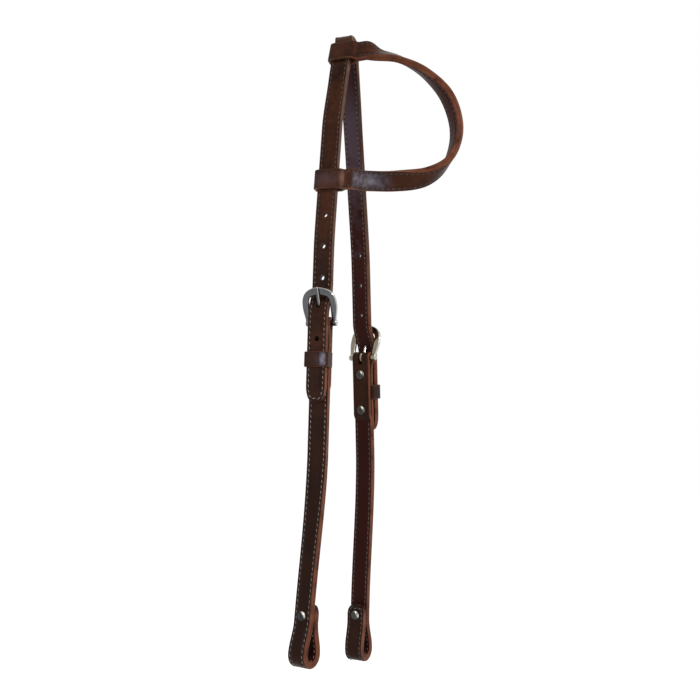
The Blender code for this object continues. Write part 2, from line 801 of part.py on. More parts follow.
def ear_loop_section():
    """The loop's path round the crown strap as (across, off) pairs, tail to tail."""
    off = HALF_STRAP + EAR_LOOP_CLEARANCE + PLY / 2
    half = HALF_WIDTH + EAR_LOOP_CLEARANCE + PLY / 2
    neck = EAR_TAIL - EAR_TAIL_FLAT
    front = [(EAR_TAIL, PLY_OFF)]
    for across in steps_between(neck, EAR_LOOP_NECK, (neck - EAR_LOOP_NECK) / 4):
        share = smooth(neck - across, 0.0, neck - EAR_LOOP_NECK)
        front.append((across, PLY_OFF + (off - PLY_OFF) * share))
    corner = EAR_LOOP_CORNER
    for i in range(5):
        angle = math.pi / 2 + math.pi / 2 * i / 4
        front.append((-half + corner + corner * math.cos(angle), off - corner + corner * math.sin(angle)))
    back = [(across, -height) for across, height in front[::-1]]
    return front + back


def make_ear_loop(name, leg, middle):
    """A single ply round the crown strap; its two ends meet the ear strap's plies."""

    def placed(row, across):
        down = middle + across * HALF_WIDTH
        return leg.place(down, row[0], row[1])

    return sheet(name, ear_loop_section(), placed, outer_leather(name), PLY)


# Places along the ear strap as shares of its reach, bow and drop, from the top loop to the low one
EAR_PLACE_SHARES = (
    (0.23, 0.12, 0.038),
    (0.43, 0.24, 0.084),
    (0.68, 0.38, 0.205),
    (0.90, 0.52, 0.408),
    (1.00, 0.58, 0.665),
    (0.95, 0.50, 0.895),
    (0.78, 0.28, 1.022),
    (0.51, 0.06, 1.052),
    (0.22, -0.01, 1.036),
)
# The near edge's direction at each of those places
EAR_EDGE_SHARES = (
    (0.10, -0.81, -0.53),
    (0.26, -0.91, -0.29),
    (0.45, -0.88, -0.07),
    (0.69, -0.72, 0.0),
    (0.67, -0.74, 0.0),
    (0.55, -0.80, 0.15),
    (0.30, -0.74, 0.55),
    (0.05, -0.35, 0.93),
    (0.0, -0.06, 1.0),
)


def curve_through(knots, tangent_start, tangent_end, per_span):
    """A smooth line through the knots with given end directions."""
    points = []
    slopes = []
    for i, knot in enumerate(knots):
        if i == 0:
            slopes.append(tangent_start * (knots[1] - knot).length)
        elif i == len(knots) - 1:
            slopes.append(tangent_end * (knot - knots[-2]).length)
        else:
            slopes.append((knots[i + 1] - knots[i - 1]) / 2)
    for i in range(len(knots) - 1):
        for j in range(per_span):
            t = j / per_span
            a = 2 * t**3 - 3 * t**2 + 1
            b = t**3 - 2 * t**2 + t
            c = -2 * t**3 + 3 * t**2
            d = t**3 - t**2
            points.append(knots[i] * a + slopes[i] * b + knots[i + 1] * c + slopes[i + 1] * d)
    points.append(knots[-1])
    return points


def ear_route(right):
    """The ear strap's middle plane between its two loops."""
    start = right.place(EAR_TOP_DOWN, EAR_TAIL + SEAT_GAP + EAR_LEAD)
    end = right.place(EAR_LOW_DOWN, EAR_TAIL + SEAT_GAP + EAR_LEAD)
    _, top_along, top_across, _ = right.route.frame(EAR_TOP_DOWN)
    _, low_along, low_across, _ = right.route.frame(EAR_LOW_DOWN)
    knots, edges = [start], [top_along]
    for (reach, bow, drop), edge in zip(EAR_PLACE_SHARES, EAR_EDGE_SHARES):
        x = start.x + EAR_REACH * (reach - EAR_REACH_BACK)
        y = start.lerp(end, drop).y + EAR_BOW * bow
        knots.append(Vector((x, y, start.z - EAR_DROP * drop)))
        edges.append(Vector(edge))
    knots.append(end)
    edges.append(-low_along)
    per_span = 10
    points = curve_through(knots, top_across, -low_across, per_span)
    edges = curve_through(edges, Vector(), Vector(), per_span)
    points = [start - top_across * EAR_LEAD, *points, end - low_across * EAR_LEAD]
    edges = [edges[0], *edges, edges[-1]]
    widths = []
    for i, edge in enumerate(edges):
        tangent = (points[min(i + 1, len(points) - 1)] - points[max(i - 1, 0)]).normalized()
        widths.append((edge - tangent * edge.dot(tangent)).normalized())
    return Route(points, widths)


def make_ear(route):
    """Both plies of the ear strap."""
    stations = steps_between(0.0, route.length, BEND_STEP * 1.7)
    for name, off, look in (
        ("ear_outer", -PLY_OFF, outer_leather),
        ("ear_lining", PLY_OFF, lining_leather),
    ):

        def placed(along, across):
            return route.point(along, across * HALF_WIDTH, off)

        sheet(name, stations, placed, look(name), PLY)


def main():
    for old in list(bpy.data.objects):
        bpy.data.objects.remove(old)
    bpy.context.scene.collection.children.link(WORK)
    bpy.context.scene.collection.children.link(CUTTERS)
    right = Leg("right", -1)
    left = Leg("left", 1)
    route, downs = crown_route(right, left)
    make_crown(right, left, route, downs)
    for leg in (right, left):
        make_cheek(leg)
        make_frame(leg)
        make_tongue(leg)
        make_keeper(leg)
        chape_face = CHAPE_OFF - PLY / 2
        for part, down in (("chape_upper", UPPER_SCREW_DOWN), ("chape_lower", LOWER_SCREW_DOWN)):
            make_screw_set(leg, part, leg.bar_down + down, chape_face, HALF_STRAP)
        tab_face = -3 * HALF_STRAP - SEAT_GAP
        make_screw_set(leg, "bit", leg.screw_down, tab_face, HALF_STRAP)
    make_ear_loop("ear_loop_top", right, EAR_TOP_DOWN)
    make_ear_loop("ear_loop_low", right, EAR_LOW_DOWN)
    make_ear(ear_route(right))


main()
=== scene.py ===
"""Western one-ear headstall: leather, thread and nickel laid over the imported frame."""

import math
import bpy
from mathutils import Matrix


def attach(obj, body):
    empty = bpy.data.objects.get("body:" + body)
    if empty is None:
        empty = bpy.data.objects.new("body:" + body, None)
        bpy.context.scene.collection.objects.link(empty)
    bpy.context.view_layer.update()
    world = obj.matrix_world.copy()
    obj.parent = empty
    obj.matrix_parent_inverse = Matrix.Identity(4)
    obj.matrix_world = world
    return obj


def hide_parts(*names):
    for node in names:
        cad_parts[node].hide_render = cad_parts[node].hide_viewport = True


bl_info = {
    "name": "Western headstall",
    "version": (1, 0, 0),
    "blender": (4, 5, 0),
    "location": "View3D > Sidebar > Headstall",
    "description": "Builds a stitched one-ear headstall with its buckles, screws and stage",
    "category": "Object",
}

from bisect import bisect_right
from dataclasses import dataclass, replace

import bmesh
import bpy
from bpy.props import FloatProperty, FloatVectorProperty, PointerProperty
from mathutils import Matrix, Vector

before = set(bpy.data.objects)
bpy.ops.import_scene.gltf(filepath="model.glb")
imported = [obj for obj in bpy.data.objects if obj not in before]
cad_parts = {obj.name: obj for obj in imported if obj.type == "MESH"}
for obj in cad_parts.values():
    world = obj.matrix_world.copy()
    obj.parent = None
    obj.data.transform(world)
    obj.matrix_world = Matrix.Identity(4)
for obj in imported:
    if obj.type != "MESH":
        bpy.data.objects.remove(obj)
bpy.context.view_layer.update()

# Straps; every length in this file is in metres
STRAP_WIDTH = 0.0159
PLY = 0.00265
PLY_GAP = 0.0003
SEAT_GAP = 0.0003
BUTT_GAP = SEAT_GAP / 3
HALF_WIDTH = STRAP_WIDTH / 2
HALF_STRAP = PLY + PLY_GAP / 2
PLY_OFF = (PLY + PLY_GAP) / 2
LONG_STEP = 0.003
BEND_STEP = 0.0009
FOLD_STEP = BEND_STEP * 2
CHAPE_STEP = BEND_STEP * 1.5
EAR_STEP = BEND_STEP * 1.2
NECK_STEP = BEND_STEP / 3
STEP_SLACK = 1e-6
ROUTE_STEPS = 16
CROWN_STEPS = 12

# Crest and legs
CREST_RADIUS = 0.0073
RIGHT_SHOULDER_LEAN = math.radians(20)
LEFT_SHOULDER_LEAN = math.radians(4)
SHOULDER_LENGTH = 0.0205
SHOULDER_EASE = 0.018
UPPER_LEAN = math.radians(8.4)
LOWER_LEAN = math.radians(3.4)
LEAN_START = 0.158
LEAN_EASE = 0.045
UPPER_TURN_START = 0.04
UPPER_TURN_EASE = 0.045
LOWER_TURN_START = 0.33
LOWER_TURN_EASE = 0.105
RIGHT_UPPER_TURN = math.radians(7.4)
RIGHT_LOWER_TURN = math.radians(-11.6)
LEFT_UPPER_TURN = math.radians(7.6)
LEFT_LOWER_TURN = math.radians(3.6)
TRAIL = 0.009
TRAIL_START = 0.345
TRAIL_EASE = 0.17
RIGHT_FORWARD_SHIFT = 0.003
SHIFT_START = 0.035
SHIFT_EASE = 0.05

# Buckles, billets and chapes, measured from the middle of the bar
RIGHT_BAR_DOWN = 0.2465
LEFT_BAR_DOWN = 0.269
BAR_RADIUS = 0.0019
FOLD_RADIUS = BAR_RADIUS + SEAT_GAP + PLY / 2
FRAME_HEIGHT = 0.029
FRAME_BAND = 0.0054
FRAME_TOP_BAND = 0.0061
FRAME_LOBE_BAND = 0.0036
FRAME_THICKNESS = 0.003
FRAME_ROUND = 0.00096
FRAME_SIDE_GAP = 0.0009
FRAME_INNER_HALF = HALF_WIDTH + FRAME_SIDE_GAP
FRAME_TILT = math.radians(21)
FRAME_LOBE_RADIUS = 0.0025
FRAME_LOBE_PROUD = 0.0002
ROD_SIDES = 24
BAR_SIDES = 32
LOBE_SIDES = 40
FRAME_SIDE_SHARE = 0.92
FRAME_OUTER_POWER = 0.7
FRAME_INNER_POWER = 0.42
TONGUE_RADIUS = 0.00125
TONGUE_OVERHANG = 0.0012
TONGUE_SLOT_GAP = 0.0005
TONGUE_LIFT = math.radians(6)
TONGUE_DROP = math.radians(3)
TONGUE_REACH = FRAME_HEIGHT + TONGUE_OVERHANG
TONGUE_ANGLE = FRAME_TILT + math.atan(
    (FRAME_THICKNESS / 2 + SEAT_GAP + TONGUE_RADIUS) / (FRAME_HEIGHT - FRAME_TOP_BAND / 2)
)
TONGUE_SHARES = (
    (0.0, 1.0),
    (0.55, 1.0),
    (0.72, 0.97),
    (0.84, 0.92),
    (0.92, 0.86),
    (0.965, 0.78),
    (0.985, 0.66),
    (0.996, 0.48),
    (1.0, 0.2),
)
HOLE_RADIUS = 0.002
HOLE_SPACING = 0.0254
HOLES_ABOVE = 3
HOLES_BELOW = 1
HALVINGS = 40
BILLET_BELOW_BAR = 0.0625
BILLET_TIP = 0.013
BILLET_TIP_SHARE = 0.35
BILLET_RISE_START = 0.029
BILLET_RISE_END = 0.004
CHAPE_LENGTH = 0.0535
CHAPE_END_EASE = 0.0039
CHAPE_END_FLAT = 0.001
FOLD_EASE = 0.012
UPPER_SCREW_DOWN = 0.0145
LOWER_SCREW_FROM_END = 0.009
LOWER_SCREW_DOWN = CHAPE_LENGTH - LOWER_SCREW_FROM_END
KEEPER_PLY = 0.0016
KEEPER_HEIGHT = 0.012
KEEPER_DOWN = (UPPER_SCREW_DOWN + LOWER_SCREW_DOWN) / 2
KEEPER_CORNER = 0.0016
KEEPER_BACK_OFF = PLY_GAP / 2 - SEAT_GAP - KEEPER_PLY / 2
CHAPE_OFF = KEEPER_BACK_OFF - KEEPER_PLY / 2 - SEAT_GAP - PLY / 2

# Castings: the tongue's voxel as a share of the frame's, and the easing of a fused shape
TONGUE_VOXEL_SHARE = 0.6
CAST_EASE = 0.5
CAST_EASE_ROUNDS = 8

# Screws
SCREW_HEAD_RADIUS = 0.0037
SCREW_HEAD_HEIGHT = 0.0012
SCREW_HEAD_DOME = 0.00077
SCREW_HEAD_EDGE = 0.000175
SCREW_DOME_POWER = 2.6
SCREW_CHAMFER_SHARE = 0.3
SCREW_LIFT = SEAT_GAP * 0.3
BARREL_RADIUS = 0.0022
BARREL_BORE = 0.0016
SHANK_RADIUS = 0.0012
SHANK_SHARE = 0.75
SCREW_SLOT_WIDTH = 0.0009
SCREW_SLOT_DEPTH = 0.0006
POST_HEAD_OFF = HALF_STRAP + SEAT_GAP
BILLET_OFF = HALF_STRAP + SEAT_GAP + max(FOLD_RADIUS + PLY / 2, POST_HEAD_OFF + SCREW_HEAD_HEIGHT)

# Bit ends
BIT_SCREW_RIGHT_DOWN = 0.4745
BIT_SCREW_LEFT_DOWN = 0.4885
BIT_LOOP_LENGTH = 0.040
BIT_LOOP_WIDTH = 0.0209
BIT_LOOP_EASE_START = 0.005
TAB_ABOVE_SCREW = 0.0085

# Ear piece
EAR_LOOP_CLEARANCE = 0.0005
EAR_LOOP_CORNER = 0.0026
EAR_LOOP_NECK = 0.0095
EAR_LOOP_STEP = 0.002
EAR_TAIL_FLAT = 0.002
EAR_LEAD = 0.003
EAR_TAIL = 0.0165
EAR_TOP_DOWN = 0.0202
EAR_LOW_DOWN = 0.1305
EAR_REACH = 0.084
EAR_DROP = 0.107
EAR_BOW = 0.036
EAR_START_SHARE = 0.10
EAR_SPAN_STEPS = 10
EAR_PLACE_SHARES = (
    (0.23, 0.12, 0.038),
    (0.43, 0.24, 0.084),
    (0.68, 0.38, 0.205),
    (0.90, 0.52, 0.408),
    (1.00, 0.58, 0.665),
    (0.95, 0.50, 0.895),
    (0.78, 0.28, 1.022),
    (0.51, 0.06, 1.052),
    (0.22, -0.01, 1.036),
)
EAR_EDGE_SHARES = (
    (0.10, -0.81, -0.53),
    (0.26, -0.91, -0.29),
    (0.45, -0.88, -0.07),
    (0.69, -0.72, 0.0),
    (0.67, -0.74, 0.0),
    (0.55, -0.80, 0.15),
    (0.30, -0.74, 0.55),
    (0.05, -0.35, 0.93),
    (0.0, -0.06, 1.0),
)

# Cut of a ply's section, as shares of its half width, thickness, corner and groove
CORNER_OF_HALF_SHARE = 0.25
CORNER_OF_PLY_SHARE = 0.4
INSET_OF_HALF_SHARE = 0.45
BACK_CORNER_SHARE = 0.25
BACK_CHAMFER_SHARE = 0.3
EDGE_BULGE_SHARE = 0.06
FILL_SHARE = 0.4
CORNER_RIM_SHARES = (1.0, 1.0, 0.9, 0.5, 0.15)
GROOVE_SHARES = ((-1.0, 0.0), (-0.55, 0.8), (0.0, 1.0), (0.55, 0.8), (1.0, 0.0))

# Stitches and awl holes: faces, and shapes as shares of a stitch's half length and a hole's radius
STITCH_SIDES = 8
STITCH_RINGS = 7
HOLE_RINGS = 4
STITCH_END_LIMIT = 1.02
STITCH_FULLNESS = 0.18
HOLE_WIDTH_SHARE = 1.5
HOLE_DEPTH_SHARE = 0.35

# Largest turn between faces that still look smooth, in degrees
LEATHER_SHARP = 50
SCREW_SHARP = 35

# Where the groove begins: after the cheek lining's start, and at a tip as shares of its length
GROOVE_LEAD = 0.0015
BILLET_SEWN_SHARE = 0.25
TAB_SEWN_SHARE = 0.3
SEWN_EASE_SHARE = 0.4

# Turn of a stitch row across a rounded tip, as shares of the row's half width
CAP_SHARES = (0.5, 0.0, -0.5)

# Wear and painted glints along a piece; the lower loop's lighter neck, partly stretched leather and
# partly a painted highlight, counts below 0 on the glint's scale
END_RIM = 0.44
END_RIM_HOLD = 0.002
END_RIM_FADE = 0.008
LOOP_NECK_STRETCH_GLINT = -0.8
LOOP_GLINT = 0.12
KEEPER_GLINT = (0.0, 0.0, 0.0, 0.0, 0.1, 0.3, 0.9, 1.4, 1.5, 0.12)
KEEPER_GLINT_STEPS = (0.002, 0.0045)
GLINT_START = 0.003
GLINT_RISE = 0.005
GLINT_END = 0.017
GLINT_FADE = 0.026

# Wear, painted shade and painted sheen by height above the crown's seat, and wear and painted
# reflection by side where Y changes its sign
SHADED_HEIGHT = -0.36
HANDLED_AND_LIT_HEIGHT = -0.16
HANDLED_EASE = 0.1
SHEEN_LOW = -0.16
SHEEN_HIGH = -0.1
SHEEN_TOP = -0.03
SHEEN_TOP_EASE = 0.03
SIDE_EASE = 0.01

# How far ahead of the crest the crown's own look ends
CROWN_LOOK = (HALF_WIDTH * 1.3, HALF_WIDTH * 2)

# Patterns of the materials, in repeats a metre
PEBBLES = 1400.0
CREASES = 420.0
WIDE_DYE_PATCHES = 34.0
SMALL_DYE_PATCHES = 260.0
EDGE_WEAR_PATCHES = 190.0
EDGE_STAINS = 90.0
SHEEN_PATCHES = 60.0
GLINT_PATCHES = 210.0
THREAD_STAINS = 300.0
TARNISH_PATCHES = 140.0

# Noise: its detail, and the part of its range from 0 to 1 over which a pattern shows
SOFT_DETAIL = 3.0
FINE_DETAIL = 4.0
NOISE_ROUGHNESS = 0.55
EVEN_SPREAD = (0.3, 0.7)
WIDE_DYE_SPREAD = (0.35, 0.7)
SMALL_DYE_SPREAD = (0.4, 0.75)
STAIN_SPREAD = (0.42, 0.7)
GLINT_SPREAD = (0.35, 0.62)
TARNISH_SPREAD = (0.4, 0.7)

# Rim values between which the burnished edge comes in
RIM_SHOWS = (0.35, 0.85)

# How much the patterns change a surface, and how far they move an effect's border
WIDE_DYE_MOST = 0.6
SMALL_DYE_MOST = 0.25
SHADED_TO_LIT_DYE = (0.25, 1.25)
GLINT_BROKEN = (0.3, 0.85)
SHEEN_AT_TOP = 0.3
EDGE_UNEVEN = 0.18
SHEEN_UNEVEN = 0.035
DIRT_UNEVEN = 0.2

# Surfaces: heights of the grain before its bump, ranges of roughness, and gloss
PEBBLE_HEIGHT = 0.6
CREASE_HEIGHT = 0.8
GRAIN_BUMP = 0.3
GRAIN_DEPTH = 0.00012
FACE_ROUGHNESS = (0.27, 0.42)
LINING_ROUGHNESS = (0.36, 0.5)
PLATING_ROUGHNESS_SHARES = (0.7, 1.4)
FACE_SPECULAR = 0.06
LINING_SPECULAR = 0.035
THREAD_ROUGHNESS = 0.6
HOLE_ROUGHNESS = 0.8

# Colours, wear and painted light: painted shade in the awl holes, dirt on the right and left side's
# thread, a darker painted reflection on the screws, tarnish, a painted highlight on the plating's lit
# side, and a painted brighter reflection on the left side's plating
HOLE_SHADE_COLOUR = (0.008, 0.004, 0.003, 1.0)
THREAD_DIRT_LOW = (0.1, 0.7)
THREAD_DIRT_HIGH = (0.9, 0.45)
THREAD_SOILED_SHARES = (0.25, 0.17, 0.125)
SCREW_SHADED_SHARE = 0.35
TARNISH = (0.72, 0.70, 0.67)
HIGHLIGHT_SIDE = (0.78, 0.0, 0.62)
HIGHLIGHT_MOST = 0.65
BUCKLE_HIGHLIGHT = (0.2, 0.6)
SCREW_HIGHLIGHT = (0.02, 0.14)
BUCKLE_LEFT_REFLECTION = 1.0
SCREW_LEFT_REFLECTION = 0.1
WHITE = (1.0, 1.0, 1.0)

# Numbers of a Mix node's sockets for colours
MIX_SHARE = 0
MIX_COLOURS = (6, 7)
MIX_RESULT = 2

# Stage
AIM = Vector((0.0, 0.0, -0.26))
CLIP_START = 0.01
FLOOR_HEIGHT = -0.62
FLOOR_RADIUS = 3.0
FLOOR_SIDES = 64
FLOOR_GLOW = 0.66
FLOOR_COLOUR = (0.9, 0.9, 0.9, 1.0)
FLOOR_ROUGHNESS = 0.9
FLOOR_SPECULAR = 0.1


def smooth(value, start, length):
    """0 before start, 1 after start + length, with an even ease between."""
    share = min(max((value - start) / length, 0.0), 1.0)
    return share * share * (3 - 2 * share)


class Route:
    """A line in space with a width direction, read by the distance along it."""

    def __init__(self, points, widths):
        self.points = points
        self.widths = widths
        self.marks = [0.0]
        for before, after in zip(points, points[1:]):
            self.marks.append(self.marks[-1] + (after - before).length)
        self.length = self.marks[-1]

    def frame(self, along):
        """Place, direction along, direction across and normal."""
        along = min(max(along, 0.0), self.length)
        high = min(bisect_right(self.marks, along), len(self.marks) - 1)
        low = high - 1
        share = (along - self.marks[low]) / (self.marks[high] - self.marks[low])
        here = self.points[high] - self.points[low]
        back = self.points[low] - self.points[low - 1] if low else here
        last = high == len(self.points) - 1
        ahead = here if last else self.points[high + 1] - self.points[high]
        start = (here.normalized() + back.normalized()).normalized()
        end = (here.normalized() + ahead.normalized()).normalized()
        tangent = start.lerp(end, share).normalized()
        width = self.widths[low].lerp(self.widths[high], share).normalized()
        place = self.points[low].lerp(self.points[high], share)
        return place, tangent, width, tangent.cross(width).normalized()

    def point(self, along, across=0.0, off=0.0):
        """A point beside the line, which runs on straight past its ends."""
        place, tangent, width, normal = self.frame(along)
        extra = along - min(max(along, 0.0), self.length)
        return place + tangent * extra + width * across + normal * off


class Leg:
    """One side of the headstall, from the crest down to its bit loop."""

    def __init__(self, name, side):
        right = side < 0
        self.name = name
        self.side = side
        self.shoulder_lean = RIGHT_SHOULDER_LEAN if right else LEFT_SHOULDER_LEAN
        self.upper_turn = RIGHT_UPPER_TURN if right else LEFT_UPPER_TURN
        self.lower_turn = RIGHT_LOWER_TURN if right else LEFT_LOWER_TURN
        self.bar_down = RIGHT_BAR_DOWN if right else LEFT_BAR_DOWN
        self.screw_down = BIT_SCREW_RIGHT_DOWN if right else BIT_SCREW_LEFT_DOWN
        self.arc = CREST_RADIUS * (math.pi / 2 - self.shoulder_lean)
        self.route = self.make_route()

    def lean(self, down):
        """Angle of the leg from plumb."""
        if down < self.arc:
            return math.pi / 2 - down / CREST_RADIUS
        hold = SHOULDER_LENGTH if self.side < 0 else 0.0
        eased = smooth(down, self.arc + hold, SHOULDER_EASE)
        lean = self.shoulder_lean + (UPPER_LEAN - self.shoulder_lean) * eased
        return lean + (LOWER_LEAN - UPPER_LEAN) * smooth(down, LEAN_START, LEAN_EASE)

    def turn(self, down):
        """Twist of the strap about the leg, front edge inwards positive."""
        upper = self.upper_turn * smooth(down, UPPER_TURN_START, UPPER_TURN_EASE)
        change = self.lower_turn - self.upper_turn
        return upper + change * smooth(down, LOWER_TURN_START, LOWER_TURN_EASE)

    def forward(self, down):
        """How far the leg stands ahead of the crest."""
        shift = RIGHT_FORWARD_SHIFT if self.side < 0 else 0.0
        ahead = shift * smooth(down, 0.0, self.arc)
        ahead -= shift * smooth(down, SHIFT_START, SHIFT_EASE)
        return ahead - TRAIL * smooth(down, TRAIL_START, TRAIL_EASE)

    def make_route(self):
        """The leg's middle plane, walked down from the crest in small steps."""
        step = CREST_RADIUS / ROUTE_STEPS
        count = round((self.screw_down + BIT_LOOP_LENGTH) / step)
        y, z = 0.0, PLY_GAP / 2 + PLY
        points, widths = [], []
        for i in range(count + 1):
            down = i * step
            points.append(Vector((self.forward(down), y, z)))
            turn = self.turn(down)
            widths.append(Vector((math.cos(turn), -self.side * math.sin(turn), 0.0)))
            lean = self.lean(down + step / 2)
            y += self.side * math.sin(lean) * step
            z -= math.cos(lean) * step
        return Route(points, widths)

    def place(self, down, across=0.0, off=0.0):
        """A point by distance down the leg, across the strap and off its middle plane."""
        return self.route.point(down, across, -self.side * off)

    def matrix(self, down, off=0.0):
        """A frame with X across the strap, Y up the leg and Z away from the horse."""
        place, _, width, normal = self.route.frame(down)
        out = normal * -self.side
        across = width * -self.side
        turn = Matrix((across, out.cross(across), out)).transposed()
        return Matrix.Translation(place + out * off) @ turn.to_4x4()


RIGHT = Leg("right", -1)
LEFT = Leg("left", 1)
LEGS = (RIGHT, LEFT)


def steps_between(start, end, step):
    """Even stations from start to end, no further apart than step."""
    count = max(math.ceil(abs(end - start) / step - STEP_SLACK), 1)
    return [start + (end - start) * i / count for i in range(count + 1)]


def chain(*runs):
    """Runs of stations joined, each starting where the last one ended."""
    stations = [runs[0][0]]
    for run in runs:
        stations.extend(run[1:])
    return stations


def billet_off(leg, down):
    """How far the crown strap stands off the leg's reference line."""
    rise = BILLET_RISE_START - BILLET_RISE_END
    return BILLET_OFF * smooth(down, leg.bar_down - BILLET_RISE_START, rise)


def tongue_hole_down(leg):
    """Where the tongue's line crosses the billet's middle plane, down the leg."""
    low, high = leg.bar_down - BILLET_RISE_START, leg.bar_down - FOLD_RADIUS
    for _ in range(HALVINGS):
        middle = (low + high) / 2
        if billet_off(leg, middle) < (leg.bar_down - middle) * math.tan(TONGUE_ANGLE):
            low = middle
        else:
            high = middle
    return low


def tip_half_width(from_tip, taper):
    """Half the strap's width at a distance from a rounded tip."""
    share = min(from_tip / taper, 1.0)
    bulge = math.sqrt(max(1 - (1 - share) ** 2, 0.0))
    return HALF_WIDTH * (BILLET_TIP_SHARE + (1 - BILLET_TIP_SHARE) * bulge)


def crown_line():
    """The crown strap's middle plane, and the distance along it of each leg's stations."""
    step = CREST_RADIUS / CROWN_STEPS
    points, widths, downs = [], [], []
    for leg, order in ((RIGHT, -1), (LEFT, 1)):
        stations = steps_between(0.0, leg.bar_down + BILLET_BELOW_BAR, step)
        if order < 0:
            stations = stations[:0:-1]
        for down in stations:
            points.append(leg.place(down, off=billet_off(leg, down)))
            widths.append(leg.route.frame(down)[2])
            downs.append((leg.side, down))
    return Route(points, widths), downs


def crown_mark(route, downs, side, down):
    """The crown line's own length at a distance down one leg."""
    best = min(
        range(len(downs)),
        key=lambda i: abs(downs[i][1] - down) if downs[i][0] == side else math.inf,
    )
    return route.marks[best]


def bit_loop_path(leg, start, ply_off):
    """One ply from a distance down the leg, round the bit loop and up to the tab's end."""
    screw = leg.screw_down
    radius = BIT_LOOP_WIDTH / 2 - HALF_STRAP
    pinch = HALF_STRAP + SEAT_GAP / 2
    straight = screw + BIT_LOOP_LENGTH - HALF_STRAP - radius
    ease_start = screw + BIT_LOOP_EASE_START

    def half(down):
        return pinch + (radius - pinch) * smooth(down, ease_start, straight - ease_start)

    downs = chain(
        steps_between(start, ease_start, LONG_STEP),
        steps_between(ease_start, straight, FOLD_STEP),
    )
    path = [(down, half(down) - pinch + ply_off) for down in downs]
    turns = 24
    for i in range(1, turns + 1):
        angle = math.pi * i / turns
        reach = radius + ply_off
        path.append((straight + reach * math.sin(angle), reach * math.cos(angle) - pinch))
    back = chain(
        steps_between(straight, ease_start, FOLD_STEP),
        steps_between(ease_start, screw - TAB_ABOVE_SCREW, BEND_STEP),
    )
    path.extend((down, -pinch - half(down) - ply_off) for down in back[1:])
    return path


def chape_off(down):
    """The chape stands clear of the keeper's back, and closes on the cheek at its end."""
    ease_end = CHAPE_LENGTH - CHAPE_END_FLAT
    ease_start = ease_end - CHAPE_END_EASE
    if down >= ease_start:
        closed = smooth(down, ease_start, CHAPE_END_EASE)
        return CHAPE_OFF + (-PLY_OFF - CHAPE_OFF) * closed
    return CHAPE_OFF + (-FOLD_RADIUS - CHAPE_OFF) * (1 - smooth(down, 0.0, FOLD_EASE))


def cheek_path(leg):
    """The outer ply as (down, off) pairs: chape, fold round the bar, cheek, bit loop and tab."""
    bar = leg.bar_down
    chape = steps_between(CHAPE_LENGTH, 0.0, CHAPE_STEP)
    path = [(bar + down, chape_off(down)) for down in chape]
    turns = 20
    for i in range(1, turns + 1):
        angle = math.pi * i / turns
        path.append((bar - FOLD_RADIUS * math.sin(angle), -FOLD_RADIUS * math.cos(angle)))
    for down in steps_between(0.0, FOLD_EASE, BEND_STEP)[1:]:
        eased = smooth(down, 0.0, FOLD_EASE)
        path.append((bar + down, FOLD_RADIUS + (PLY_OFF - FOLD_RADIUS) * eased))
    return path + bit_loop_path(leg, bar + FOLD_EASE, PLY_OFF)[1:]


def tangents(points, closed=False):
    """The direction of a line at each of its points."""
    count = len(points)
    found = []
    for i, place in enumerate(points):
        before = points[(i - 1) % count] if closed or i else place
        after = points[(i + 1) % count] if closed or i < count - 1 else place
        found.append((after - before).normalized())
    return found


def frames_of(points, widths, closed=False):
    """Place, width and normal at each point of a line."""
    return [
        (place, width, tangent.cross(width).normalized())
        for place, width, tangent in zip(points, widths, tangents(points, closed))
    ]


def curve_through(knots, tangent_start, tangent_end, per_span):
    """A smooth line through the knots with given end directions."""
    slopes = [tangent_start * (knots[1] - knots[0]).length]
    slopes += [(after - before) / 2 for before, after in zip(knots, knots[2:])]
    slopes.append(tangent_end * (knots[-1] - knots[-2]).length)
    points = []
    for i in range(len(knots) - 1):
        for j in range(per_span):
            t = j / per_span
            a = 2 * t**3 - 3 * t**2 + 1
            b = t**3 - 2 * t**2 + t
            c = -2 * t**3 + 3 * t**2
            d = t**3 - t**2
            points.append(knots[i] * a + slopes[i] * b + knots[i + 1] * c + slopes[i + 1] * d)
    points.append(knots[-1])
    return points


def ear_line():
    """The ear strap's middle plane between its two loops."""
    start = RIGHT.place(EAR_TOP_DOWN, EAR_TAIL + SEAT_GAP + EAR_LEAD)
    end = RIGHT.place(EAR_LOW_DOWN, EAR_TAIL + SEAT_GAP + EAR_LEAD)
    _, top_along, top_across, _ = RIGHT.route.frame(EAR_TOP_DOWN)
    _, low_along, low_across, _ = RIGHT.route.frame(EAR_LOW_DOWN)
    knots, edges = [start], [top_along]
    for (reach, bow, drop), edge in zip(EAR_PLACE_SHARES, EAR_EDGE_SHARES):
        ahead = start.x + EAR_REACH * (reach - EAR_START_SHARE)
        aside = start.lerp(end, drop).y + EAR_BOW * bow
        knots.append(Vector((ahead, aside, start.z - EAR_DROP * drop)))
        edges.append(Vector(edge))
    knots.append(end)
    edges.append(-low_along)
    points = curve_through(knots, top_across, -low_across, EAR_SPAN_STEPS)
    edges = curve_through(edges, Vector(), Vector(), EAR_SPAN_STEPS)
    lead = EAR_LEAD + SEAT_GAP - BUTT_GAP
    points = [start - top_across * lead, *points, end - low_across * lead]
    edges = [edges[0], *edges, edges[-1]]
    widths = [
        (edge - tangent * edge.dot(tangent)).normalized()
        for edge, tangent in zip(edges, tangents(points))
    ]
    return Route(points, widths)


